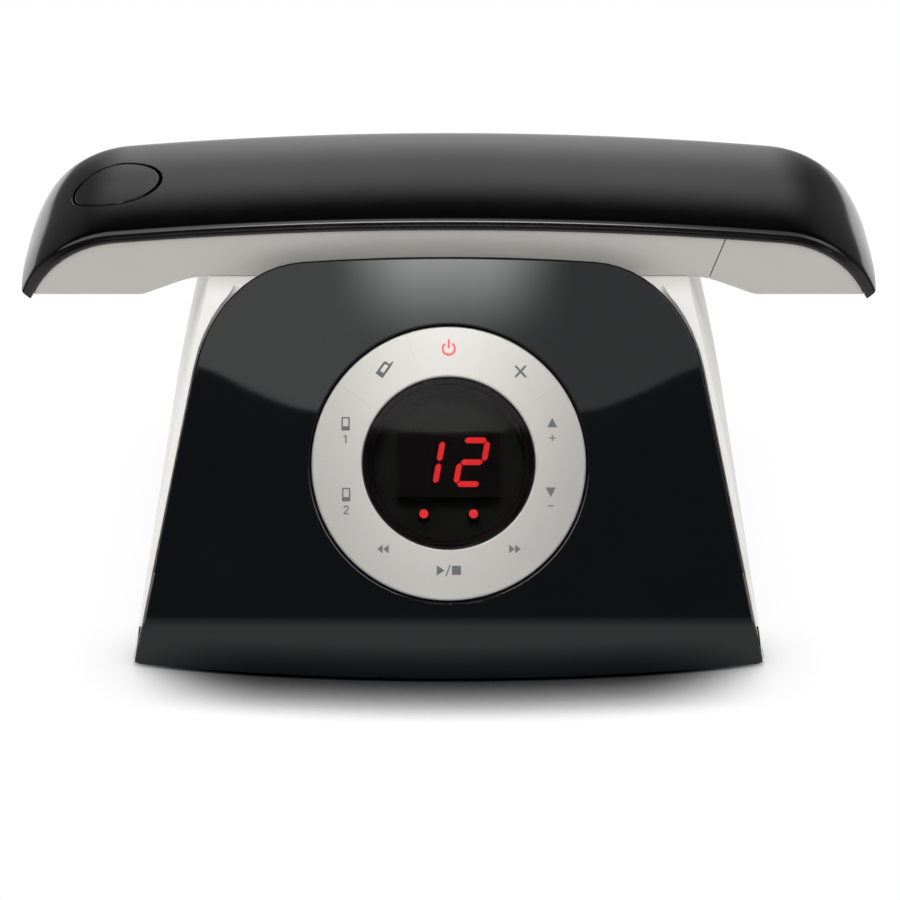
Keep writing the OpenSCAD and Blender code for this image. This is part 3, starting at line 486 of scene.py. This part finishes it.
def bar(bm, start, end, stroke):
    a, b = Vector(start), Vector(end)
    side = (b - a).orthogonal().normalized() * stroke / 2
    shape(bm, (a - side, b - side, b + side, a + side))


def arcBar(bm, radius, stroke, fromAngle, toAngle, at=(0, 0)):
    start, end = math.radians(fromAngle), math.radians(toAngle)
    cut = [bm.verts.new((at[0] + r * math.cos(start), at[1] + r * math.sin(start), 0))
           for r in (radius - stroke / 2, radius + stroke / 2)]
    edge = bm.edges.new(cut)
    bmesh.ops.spin(bm, geom=cut + [edge], cent=(at[0], at[1], 0), axis=(0, 0, 1),
                   angle=end - start, steps=marks["arcSteps"], use_merge=False)


def crossMark(bm):
    for s in (-1, 1):
        bar(bm, (-1.25, -1.35 * s), (1.25, 1.35 * s), marks["stroke"])


def upMark(bm):
    shape(bm, [(-1.2, -1.0), (1.2, -1.0), (0, 1.25)])


def downMark(bm):
    shape(bm, [(-1.2, 1.0), (0, -1.25), (1.2, 1.0)])


def forwardMark(bm, way=1):
    for x in (-1.35, 0.05):
        shape(bm, [(way * x, -1.05), (way * (x + 1.3), 0), (way * x, 1.05)])


def backMark(bm):
    forwardMark(bm, -1)


def playMark(bm):
    shape(bm, [(-2.8, -1.2), (-0.9, 0), (-2.8, 1.2)])
    bar(bm, (-0.65, -1.35), (0.35, 1.35), marks["fine"])
    shape(bm, [(0.75, -1.05), (2.85, -1.05), (2.85, 1.05), (0.75, 1.05)])


def powerMark(bm):
    arcBar(bm, 1.42, marks["bold"], 125, 415)
    bar(bm, (0, 0.1), (0, 2.2), marks["bold"])


def phoneMark(bm, size=(0.8, 1.55), stroke=0.34):
    w, h = size
    for s in (-1, 1):
        bar(bm, (s * w, -h), (s * w, h), stroke)
    top, filled = h - marks["phoneTop"], -h * marks["phoneFilled"]
    bar(bm, (-w, top), (w, top), stroke)
    shape(bm, [(-w, -h), (w, -h), (w, filled), (-w, filled)])


def handsetMark(bm):
    phoneMark(bm, (0.75, 1.75), 0.55)
    bar(bm, (0.7, 1.6), (0.7, 2.8), 0.42)
    tilt = Matrix.Rotation(math.radians(marks["handsetTilt"]), 3, "Z")
    bmesh.ops.rotate(bm, verts=bm.verts, cent=(0, 0, 0), matrix=tilt)


def menuMark(bm):
    for y in (-1.3, 0, 1.3):
        bar(bm, (-1.7, y), (1.7, y), marks["stroke"])


def plusMark(bm):
    bar(bm, (-0.75, 0), (0.75, 0), marks["thin"])
    bar(bm, (0, -0.75), (0, 0.75), marks["thin"])


def minusMark(bm):
    bar(bm, (-0.7, 0), (0.7, 0), marks["thin"])


def oneMark(bm):
    bar(bm, (0.1, -0.95), (0.1, 0.95), marks["thin"])
    bar(bm, (-0.45, 0.55), (0.1, 0.9), marks["fine"])


def twoMark(bm):
    arcBar(bm, 0.5, marks["thin"], 170, -25, (0, 0.45))
    bar(bm, (0.42, 0.2), (-0.55, -0.85), marks["thin"])
    bar(bm, (-0.62, -0.83), (0.65, -0.83), marks["thin"])


def layMark(name, draw, at, body, ink, surface):
    bm = bmesh.new()
    draw(bm)
    bmesh.ops.remove_doubles(bm, verts=bm.verts, dist=merge["mark"])
    faceTowards(bm, Vector((0, 0, 1)))
    bmesh.ops.translate(bm, verts=drawOut(bm, bm.faces[:]),
                        vec=(0, 0, marks["thick"] + marks["sunk"]))
    bmesh.ops.recalc_face_normals(bm, faces=bm.faces)
    bmesh.ops.translate(bm, verts=bm.verts, vec=(at[0], at[1], -marks["sunk"]))
    layOn(bm, surface)
    finishPiece(name, bm, ink, body)


def onKeys(point):
    return onRing(Vector((point.x, point.y, point.z - bow(point.x))))


keyMarks = [("answerMark", powerMark, (0, 26.8), "key_answer", redIcon),
            ("deleteMark", crossMark, (16.8, 21.5), "key_delete", greyInk),
            ("volumeUpMark", upMark, (24.2, 9.4), "key_volume_up", greyInk),
            ("plusMark", plusMark, (24.2, 5.9), "key_volume_up", greyInk),
            ("volumeDownMark", downMark, (23.8, -6.7), "key_volume_down", greyInk),
            ("minusMark", minusMark, (23.8, -10.0), "key_volume_down", greyInk),
            ("skipMark", forwardMark, (15.4, -20.1), "key_skip", greyInk),
            ("playMark", playMark, (0, -25.1), "key_play", greyInk),
            ("repeatMark", backMark, (-15.3, -20.1), "key_repeat", greyInk),
            ("cellTwoMark", phoneMark, (-23.9, -7.4), "key_cell_two", greyInk),
            ("cellTwoNumber", twoMark, (-23.9, -11.0), "key_cell_two", greyInk),
            ("cellOneMark", phoneMark, (-24.1, 9.2), "key_cell_one", greyInk),
            ("cellOneNumber", oneMark, (-24.1, 5.6), "key_cell_one", greyInk),
            ("findMark", handsetMark, (-15.3, 21.9), "key_find", greyInk)]
for name, draw, at, body, ink in keyMarks:
    layMark(name, draw, at, body, ink, onKeys)
print("key marks laid,", len(keyMarks))


# display: smoked lens on its bezel, lit bars and lamps behind it
lens = {"radius": 19.95, "seat": (18.7, 18.55), "top": -0.2, "flange": -1.45, "bottom": -2.35,
        "edge": 0.2, "edgeSegments": 3, "edgeAngle": 40, "rings": 7, "segments": 128}
rimEnd, seatEnd = lens["seat"]
innerRadii = [seatEnd * (i - 0.5) / lens["rings"] for i in range(lens["rings"], 0, -1)]
bm = ringedDisc([lens["radius"], rimEnd, seatEnd] + innerRadii, lens["segments"])
for v in bm.verts:
    v.co.z = lens["top"] - bow(v.co.x)
for v in drawOut(bm, bm.faces[:]):
    onFlange = v.co.xy.length > (rimEnd + seatEnd) / 2
    v.co.z = lens["flange"] if onFlange else lens["bottom"]
bmesh.ops.recalc_face_normals(bm, faces=bm.faces)
layOn(bm, onRing)
lensPiece = finishPiece("smokedLens", bm, smoked, "base", stands=["display_lens"])
roundEdges(lensPiece, lens["edge"], lens["edgeSegments"], lens["edgeAngle"])

digits = {"half": 2.84, "bar": 5.15, "stroke": 1.32, "slant": 0.176, "lift": 0.5, "face": -4.4,
          "thick": 0.3, "trim": 0.26, "point": 0.42}
digitBars = {"rightHigh": ((1, 1), (1, 0)), "rightLow": ((1, 0), (1, -1)),
             "leftLow": ((-1, 0), (-1, -1)), "top": ((-1, 1), (1, 1)),
             "middle": ((-1, 0), (1, 0)), "bottom": ((-1, -1), (1, -1))}
litDigits = [("digitOne", -5.1, ("rightHigh", "rightLow")),
             ("digitTwo", 5.4, ("top", "rightHigh", "middle", "leftLow", "bottom"))]


def litBar(bm, start, end):
    a, b = (Vector((p[0] * digits["half"], p[1] * digits["bar"])) for p in (start, end))
    along = (b - a).normalized()
    across = along.orthogonal() * digits["stroke"] / 2
    a, b = a + along * digits["trim"], b - along * digits["trim"]
    tip = along * digits["stroke"] * digits["point"]
    shape(bm, (a, a + tip - across, b - tip - across, b, b - tip + across, a + tip + across))


for name, middle, lit in litDigits:
    bm = bmesh.new()
    for part in lit:
        litBar(bm, *digitBars[part])
    bmesh.ops.translate(bm, verts=drawOut(bm, bm.faces[:]), vec=(0, 0, digits["thick"]))
    bmesh.ops.recalc_face_normals(bm, faces=bm.faces)
    for v in bm.verts:
        v.co.x += digits["slant"] * v.co.y
    bmesh.ops.translate(bm, verts=bm.verts, vec=(middle, digits["lift"], digits["face"]))
    layOn(bm, onRing)
    finishPiece(name, bm, redBars, "base")

lamps = {"x": 5.8, "y": -11.6, "radius": 1.05, "taper": 0.9, "face": -4.5, "thick": 0.35,
         "segments": 32}
for s, name in ((-1, "lampLeft"), (1, "lampRight")):
    bm = bmesh.new()
    at = Matrix.Translation((s * lamps["x"], lamps["y"], lamps["face"] + lamps["thick"] / 2))
    bmesh.ops.create_cone(bm, cap_ends=True, segments=lamps["segments"],
                          radius1=lamps["radius"], radius2=lamps["radius"] * lamps["taper"],
                          depth=lamps["thick"], matrix=at)
    layOn(bm, onRing)
    finishPiece(name, bm, redLamp, "base")
print("display lit")


# handset cover: one long arch with turned-down tips, a crowned back and a narrow upright band
cover = {"halfLength": 104, "half": 24.25, "restHeight": 76.6, "edge": 14.8, "arch": 900,
         "tip": 27, "drop": 5.0, "crown": 1.4, "crownPower": 3, "round": 2.0,
         "lip": 2.3, "lipTop": -0.8, "strip": 0.6, "leanBack": 0.65, "elbow": (1.1, 0.05),
         "wall": 1.8, "rimEdge": 0.2, "rimSegments": 2, "sharp": 50,
         "tipSteps": 28, "backSteps": 44, "acrossSteps": 32, "turnSteps": 10, "halvings": 40,
         "buttonX": -80.5, "hole": 11.05, "button": 10.35, "clear": 13.4, "clearMore": 3,
         "fitMore": 1, "spokeCuts": 3}
coverLow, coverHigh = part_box("handset_top_cover")
handsetAt = Vector((0, (coverLow.y + coverHigh.y) / 2 / mm, cover["restHeight"]))
tipX = cover["halfLength"] - cover["tip"]
tipZ = cover["edge"] - cover["arch"] + math.sqrt((cover["arch"] - cover["tip"]) ** 2 - tipX ** 2)
joinAngle = math.asin(tipX / (cover["arch"] - cover["tip"]))
tipAngle = math.acos((-cover["drop"] - tipZ) / cover["tip"])


# a place along the arch and its tips, by the angle of the spine there
def offSpine(angle, out):
    if abs(angle) <= joinAngle:
        x = cover["arch"] * math.sin(angle)
        z = cover["edge"] - cover["arch"] * (1 - math.cos(angle))
    else:
        x = math.copysign(tipX + cover["tip"] * math.sin(abs(angle)), angle)
        z = tipZ + cover["tip"] * math.cos(angle)
    return x + out * math.sin(angle), z + out * math.cos(angle)


def crownAt(y):
    return cover["crown"] * (1 - (abs(y) / cover["half"]) ** cover["crownPower"])


# the back's height above a place, found by halving the angle's range
def backHeight(x, y):
    low, high = -tipAngle, tipAngle
    for _ in range(cover["halvings"]):
        guess = (low + high) / 2
        if offSpine(guess, crownAt(y))[0] < x:
            low = guess
        else:
            high = guess
    return offSpine(low, crownAt(y))[1]


def onHandset(point):
    return (handsetAt + point) * mm


tipParts = [i / cover["tipSteps"] for i in range(1, cover["tipSteps"] + 1)]
rightTip = [joinAngle + (tipAngle - joinAngle) * part for part in tipParts]
back = [joinAngle * (2 * i / cover["backSteps"] - 1) for i in range(cover["backSteps"] + 1)]
stations = [-angle for angle in reversed(rightTip)] + back + rightTip
# the section from the lip up: an upright band, a soft turn, then the crown
crownHalf = cover["half"] - cover["round"]
lipTop = Vector((cover["half"] - cover["leanBack"], cover["lipTop"]))
lipStrip = Vector((cover["half"], cover["strip"] - cover["lip"]))
elbow = Vector((cover["half"] - cover["elbow"][0], cover["elbow"][1]))
crownEnd = Vector((crownHalf, crownAt(crownHalf)))
lipSide = [Vector((cover["half"], -cover["lip"])), lipStrip, lipStrip.lerp(lipTop, 0.5)]
for t in [i / cover["turnSteps"] for i in range(cover["turnSteps"])]:
    lipSide.append(lipTop * (1 - t) ** 2 + elbow * 2 * t * (1 - t) + crownEnd * t * t)
across = [2 * i / cover["acrossSteps"] - 1 for i in range(cover["acrossSteps"] + 1)]
section = [(-p.x, p.y) for p in lipSide]
section += [(crownHalf * part, crownAt(crownHalf * part)) for part in across]
section += [(p.x, p.y) for p in reversed(lipSide)]
bm = bmesh.new()
lastStation, lastPoint = len(stations) - 1, len(section) - 1
bmesh.ops.create_grid(bm, x_segments=lastStation, y_segments=lastPoint, size=1)
for v in bm.verts:
    angle = stations[round((v.co.x + 1) / 2 * lastStation)]
    y, out = section[round((v.co.y + 1) / 2 * lastPoint)]
    x, z = offSpine(angle, out)
    v.co = Vector((x, y, z))


# the button's hole: a square of faces taken out, its border drawn in to a circle
def fromButton(point):
    return max(abs(point.x - cover["buttonX"]), abs(point.y))


inHole = [f for f in bm.faces if fromButton(f.calc_center_median()) < cover["clear"]]
bmesh.ops.delete(bm, geom=inHole, context="FACES")
squareEnd = cover["clear"] + cover["clearMore"]
square = [e for e in bm.edges
          if e.is_boundary and all(fromButton(v.co) < squareEnd for v in e.verts)]
squareVerts = {v for e in square for v in e.verts}
holeVerts = set(vertsOf(bmesh.ops.extrude_edge_only(bm, edges=square)["geom"]))
for v in holeVerts:
    way = Vector((v.co.x - cover["buttonX"], v.co.y)).normalized() * cover["hole"]
    v.co.x, v.co.y = cover["buttonX"] + way.x, way.y
spokes = [e for e in bm.edges if set(e.verts) & squareVerts and set(e.verts) & holeVerts]
bmesh.ops.subdivide_edges(bm, edges=spokes, cuts=cover["spokeCuts"])
for v in bm.verts:
    if fromButton(v.co) < cover["clear"] + cover["fitMore"]:
        v.co.z = backHeight(v.co.x, v.co.y)
faceTowards(bm, Vector((0, 0, 1)))
layOn(bm, onHandset)
coverPiece = finishPiece("archedCover", bm, coverAbs, "handset",
                         stands=["handset_top_cover"], angle=cover["sharp"])
addModifier(coverPiece, "SOLIDIFY", thickness=cover["wall"] * mm, offset=-1,
            use_even_offset=False)
roundEdges(coverPiece, cover["rimEdge"], cover["rimSegments"], cover["sharp"])

# round button: a thin disc of the same skin with a skirt inside its edge, on a stem
cup = {"rings": 8, "thick": 0.9, "skirtLift": 0.2, "stem": 1.4, "stemSegments": 24,
       "segments": 96, "edge": 0.3, "edgeSegments": 3, "edgeAngle": 50}
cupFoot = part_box("round_button")[0].z / mm - handsetAt.z
cupRadii = [cover["button"] * (1 - i / (cup["rings"] + 0.5)) for i in range(cup["rings"] + 1)]
skirtOuter, skirtInner = cupRadii[1:3]
bm = ringedDisc(cupRadii, cup["segments"])
for v in bm.verts:
    x = v.co.x + cover["buttonX"]
    v.co = Vector((x, v.co.y, backHeight(x, v.co.y)))
walled = bmesh.ops.extrude_face_region(bm, geom=bm.faces[:])["geom"]
for v in vertsOf(walled):
    v.co.z -= cup["thick"]
buttonMiddle = Vector((cover["buttonX"], 0))
skirtFaces = [g for g in walled if isinstance(g, bmesh.types.BMFace)
              and skirtInner < (g.calc_center_median().xy - buttonMiddle).length < skirtOuter]
for v in drawOut(bm, skirtFaces):
    v.co.z = cupFoot + cup["skirtLift"]
stemTop = backHeight(cover["buttonX"], 0) - cup["thick"] / 2
stem = Matrix.Translation((cover["buttonX"], 0, (stemTop + cupFoot) / 2))
bmesh.ops.create_cone(bm, cap_ends=True, segments=cup["stemSegments"], radius1=cup["stem"],
                      radius2=cup["stem"], depth=stemTop - cupFoot, matrix=stem)
bmesh.ops.recalc_face_normals(bm, faces=bm.faces)
layOn(bm, onHandset)
buttonPiece = finishPiece("roundButtonCap", bm, coverAbs, "round_button",
                          stands=["round_button"])
roundEdges(buttonPiece, cup["edge"], cup["edgeSegments"], cup["edgeAngle"])
print("handset cover arched, button cut in")


# the CAD shapes with rounded edges: node, piece, material, body, slot, rounding, segments
softPieces = [("base_shell", "paleBaseShell", paleAbs, "base", "shell_grey", 0.25, 3),
              ("handset_lower_shell", "warmLowerShell", warmAbs, "handset", "handset_grey",
               0.25, 3),
              ("battery_door", "batteryDoorSkin", warmAbs, "battery_door", "handset_grey",
               0.25, 3),
              ("bottom_cover", "mattBottomCover", mattAbs, "base", "matt_black", 0.3, 2),
              ("rubber_feet", "rubberFeetPads", footRubber, "base", "foot_rubber", 0.3, 3),
              ("line_jack", "ivoryLineSocket", ivoryNylon, "base", "socket_ivory", 0.25, 2),
              ("power_jack", "blackPowerSocket", mattAbs, "base", "matt_black", 0.25, 2),
              ("charge_plates", "goldPlates", contactBrass, "handset", "contact_brass", 0.1, 2),
              ("charge_springs", "goldSprings", contactBrass, "base", "contact_brass", 0.15, 2)]
for node, name, material, body, slotName, width, segments in softPieces:
    softCopy(node, name, material, body, width, segments,
             outerOnly=material is warmAbs)
# the bezel's rim is lowered to make room for the lens's edge
bezel = {"rim": -1.0, "drop": 0.8, "edge": 0.15, "edgeSegments": 2}
bezelPiece = softCopy("display_bezel", "blackBezel", mattAbs, "base",
                      bezel["edge"], bezel["edgeSegments"])
for v in bezelPiece.data.vertices:
    if (v.co - ringMiddle).dot(outward) > bezel["rim"] * mm:
        v.co -= outward * bezel["drop"] * mm
padKeys = {"prefix": "pad_key_", "edge": 0.4, "edgeSegments": 3}
padNames = [n for n in nodes if n.startswith(padKeys["prefix"])]
for node in padNames:
    softCopy(node, node + "_cap", keySilicone, node, padKeys["edge"],
             padKeys["edgeSegments"], outerOnly=True)
print("soft copies made")


# keypad marks, read from below with the window at the top
padMarks = {"height": 5.6, "letters": {"star": "*", "hash": "#"},
            "symbols": {"talk": handsetMark, "menu": menuMark, "off": powerMark}}


def writeText(bm, letters):
    curve = bpy.data.curves.new("padText", "FONT")
    curve.body, curve.size = letters, padMarks["height"]
    curve.align_x = curve.align_y = "CENTER"
    textObject = bpy.data.objects.new("padText", curve)
    mesh = bpy.data.meshes.new_from_object(textObject)
    bm.from_mesh(mesh)
    bpy.data.objects.remove(textObject)
    bpy.data.curves.remove(curve)
    bpy.data.meshes.remove(mesh)


for node in padNames:
    label = node[len(padKeys["prefix"]):]
    letters = padMarks["letters"].get(label, label)
    draw = padMarks["symbols"].get(label, lambda bm: writeText(bm, letters))
    keyLow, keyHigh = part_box(node)
    middle = Vector(((keyLow.x + keyHigh.x) / 2, (keyLow.y + keyHigh.y) / 2, keyLow.z))
    layMark(node + "_mark", draw, (0, 0), node, darkInk,
            lambda point: middle + Vector((-point.y, -point.x, -point.z)) * mm)
print("keypad marks laid,", len(padNames))

# pieces inside, and small ones, keep their CAD shapes
plainNodes = {"led_display": mattAbs, "indicator_leds": redEpoxy, "main_board": maskedBoard,
              "jack_board": maskedBoard, "handset_board": maskedBoard, "board_screws": zincSteel,
              "base_screws": zincSteel, "handset_screws": zincSteel, "key_switches": mattAbs,
              "handset_switches": mattAbs, "base_speaker": speakerGrey, "earpiece": speakerGrey,
              "antenna": contactBrass, "microphone": zincSteel, "battery_pack": cellSleeve,
              "lcd_window": smoked, "lcd_module": lcdBacking}
for node, material in plainNodes.items():
    nodes[node].data.materials.clear()
    nodes[node].data.materials.append(material)
print("plain nodes finished,", len(plainNodes))


# stage: a white floor that the camera and mirrors see as white, with a painted soft shadow in its
# white glow
# a fade is where it starts and ends, and its values there
stage = {"floor": 1.0, "floorCells": 4,
         "shadowReach": 0.016, "shadowDepth": 5.4, "shadowSamples": 16,
         "shadowFront": (-0.05, -0.03, 1.0, 0.1), "shadowSide": (0.04, 0.079, 1.0, 0.1)}
floorMaterial, floorTree, floorShader, floorPlace, _ = startMaterial(
    "matteWhiteSweep", ("#f6f6f6", "#f2f2f2"), drift=25, detail=2,
    shaderValues={"Roughness": 0.9, "IOR": 1.3})
# painted shadow: the glow's strength is the occlusion near the object raised to a power, and the
# power fades out to the sides and towards the back
openness = addNode(floorTree, "ShaderNodeAmbientOcclusion",
                   props={"samples": stage["shadowSamples"]},
                   values={"Distance": stage["shadowReach"]})
spot = addNode(floorTree, "ShaderNodeSeparateXYZ", links=[(floorPlace, "Object", "Vector")])
aside = addNode(floorTree, "ShaderNodeMath", props={"operation": "ABSOLUTE"},
                links=[(spot, "X", 0)])
shadowFades = []
for name, source, output in (("shadowFront", spot, "Y"), ("shadowSide", aside, "Value")):
    low, high, first, last = stage[name]
    shadowFades.append(addNode(
        floorTree, "ShaderNodeMapRange", props={"interpolation_type": "SMOOTHSTEP"},
        values={"From Min": low, "From Max": high, "To Min": first, "To Max": last},
        links=[(source, output, "Value")]))
fade = addNode(floorTree, "ShaderNodeMath", props={"operation": "MULTIPLY"},
               links=[(shadowFades[0], "Result", 0), (shadowFades[1], "Result", 1)])
depth = addNode(floorTree, "ShaderNodeMath", props={"operation": "MULTIPLY"},
                values={1: stage["shadowDepth"]}, links=[(fade, "Value", 0)])
paintedShade = addNode(floorTree, "ShaderNodeMath", props={"operation": "POWER"},
                links=[(openness, "AO", 0), (depth, "Value", 1)])
path = addNode(floorTree, "ShaderNodeLightPath")
mirrored = addNode(floorTree, "ShaderNodeMath", props={"operation": "MAXIMUM"},
                   links=[(path, "Is Glossy Ray", 0), (path, "Is Transmission Ray", 1)])
seen = addNode(floorTree, "ShaderNodeMath", props={"operation": "MAXIMUM"},
               links=[(path, "Is Camera Ray", 0), (mirrored, "Value", 1)])
# the white glow takes the painted shadow as its strength
white = addNode(floorTree, "ShaderNodeEmission", links=[(paintedShade, "Value", "Strength")])
floorMix = addNode(floorTree, "ShaderNodeMixShader",
                   links=[(seen, "Value", 0), (floorShader, "BSDF", 1), (white, "Emission", 2)])
floorOut = next(n for n in floorTree.nodes if n.type == "OUTPUT_MATERIAL")
floorTree.links.new(floorMix.outputs["Shader"], floorOut.inputs["Surface"])
bm = bmesh.new()
bmesh.ops.create_grid(bm, x_segments=stage["floorCells"], y_segments=stage["floorCells"],
                      size=stage["floor"] / 2)
floorMesh = bpy.data.meshes.new("whiteSweep")
bm.to_mesh(floorMesh)
bm.free()
floorMesh.materials.append(floorMaterial)
floor = bpy.data.objects.new("whiteSweep", floorMesh)
bpy.context.scene.collection.objects.link(floor)

# a large soft box in front and a small one at each side; metres, and degrees up and round
aimPoint = Vector((0, 0, 0.05))
softBoxes = {"front": {"size": (1.9, 0.95), "level": 1.15, "height": 62.6, "turn": 0, "far": 1.4,
                       "mirrored": False},
             "right": {"size": (0.7, 0.7), "level": 1.2, "height": 38, "turn": 62, "far": 1.5,
                       "mirrored": True},
             "left": {"size": (0.7, 0.7), "level": 3.0, "height": 30, "turn": -95, "far": 1.5,
                      "mirrored": False}}
for name, values in softBoxes.items():
    boxLight = bpy.data.lights.new(name + "SoftBox", "AREA")
    boxLight.shape = "RECTANGLE"
    boxLight.size, boxLight.size_y = values["size"]
    boxLight.energy = values["level"] * math.pi * boxLight.size * boxLight.size_y
    boxObject = bpy.data.objects.new(name + "SoftBox", boxLight)
    height, turn = math.radians(values["height"]), math.radians(values["turn"])
    way = Vector((math.cos(height) * math.sin(turn), -math.cos(height) * math.cos(turn),
                  math.sin(height)))
    boxObject.location = way * values["far"] + aimPoint
    boxObject.rotation_euler = (-way).to_track_quat("-Z", "Y").to_euler()
    boxObject.visible_glossy = values["mirrored"]
    bpy.context.scene.collection.objects.link(boxObject)

# what polished faces mirror: a pale wall behind, darkness in front,
# and above it the front soft box's lower edge, which sags at the sides, with a bright core
# the camera is shown plain white, and the ambient level lights the rest
sky = {"wall": (0.30, 0.62, 1.35, 0.01), "wallSide": (0.06, 0.42, 1.0, 0.1),
       "dark": (0.05, 0.46, 0.75, 0.07), "behind": (-0.12, 0.12, 0.0, 1.0),
       "box": (0.6936, 0.6948, 0.0, 1.9), "side": (-0.2, 0.2, 1.05, 0.55), "sag": 0.21,
       "core": (0.713, 0.749, 0.0, 13.0), "coreSide": (0.05, 0.2, 1.0, 0.0),
       "coreTop": (0.8, 0.87, 1.0, 0.0), "ambient": 0.7, "shown": 1.0}
world = bpy.data.worlds.new("paleStudio")
bpy.context.scene.world = world
world.use_nodes = True
tree = world.node_tree
tree.nodes.clear()
aim = addNode(tree, "ShaderNodeTexCoord")
parts = addNode(tree, "ShaderNodeSeparateXYZ", links=[(aim, "Generated", "Vector")])
squared = addNode(tree, "ShaderNodeMath", props={"operation": "MULTIPLY"},
                  links=[(parts, "X", 0), (parts, "X", 1)])
sagged = addNode(tree, "ShaderNodeMath", props={"operation": "MULTIPLY_ADD"},
                 values={1: sky["sag"]}, links=[(squared, "Value", 0), (parts, "Z", 2)])
sideways = addNode(tree, "ShaderNodeMath", props={"operation": "ABSOLUTE"},
                   links=[(parts, "X", 0)])
fades = {}
for name, source, output in (("box", sagged, "Value"), ("side", parts, "X"),
                             ("core", sagged, "Value"), ("coreTop", parts, "Z"),
                             ("coreSide", sideways, "Value"), ("wall", parts, "Z"),
                             ("wallSide", sideways, "Value"), ("dark", parts, "Z"),
                             ("behind", parts, "Y")):
    low, high, first, last = sky[name]
    fades[name] = addNode(
        tree, "ShaderNodeMapRange", props={"interpolation_type": "SMOOTHSTEP"},
        values={"From Min": low, "From Max": high, "To Min": first, "To Max": last},
        links=[(source, output, "Value")])
boxPart = addNode(tree, "ShaderNodeMath", props={"operation": "MULTIPLY"},
                  links=[(fades["box"], "Result", 0), (fades["side"], "Result", 1)])
coreRow = addNode(tree, "ShaderNodeMath", props={"operation": "MULTIPLY"},
                  links=[(fades["core"], "Result", 0), (fades["coreTop"], "Result", 1)])
litPart = addNode(tree, "ShaderNodeMath", props={"operation": "MULTIPLY_ADD"},
                  links=[(coreRow, "Value", 0), (fades["coreSide"], "Result", 1),
                         (boxPart, "Value", 2)])
ahead = addNode(tree, "ShaderNodeMath", props={"operation": "ADD"},
                links=[(litPart, "Value", 0), (fades["dark"], "Result", 1)])
wallPart = addNode(tree, "ShaderNodeMath", props={"operation": "MULTIPLY"},
                   links=[(fades["wall"], "Result", 0), (fades["wallSide"], "Result", 1)])
around = addNode(tree, "ShaderNodeMix", props={"data_type": "FLOAT"},
                 links=[(fades["behind"], "Result", 0), (ahead, "Value", 2),
                        (wallPart, "Value", 3)])
path = addNode(tree, "ShaderNodeLightPath")
mirrored = addNode(tree, "ShaderNodeMath", props={"operation": "MAXIMUM"},
                   links=[(path, "Is Glossy Ray", 0), (path, "Is Transmission Ray", 1)])
level = addNode(tree, "ShaderNodeMix", props={"data_type": "FLOAT"}, values={2: sky["ambient"]},
                links=[(mirrored, "Value", 0), (around, 0, 3)])
shown = addNode(tree, "ShaderNodeMix", props={"data_type": "FLOAT"}, values={3: sky["shown"]},
                links=[(path, "Is Camera Ray", 0), (level, 0, 2)])
glow = addNode(tree, "ShaderNodeBackground", values={"Color": (1, 1, 1, 1)},
               links=[(shown, 0, "Strength")])
addNode(tree, "ShaderNodeOutputWorld", links=[(glow, "Background", "Surface")])
bpy.context.scene.view_settings.view_transform = "Standard"
print("stage lit")
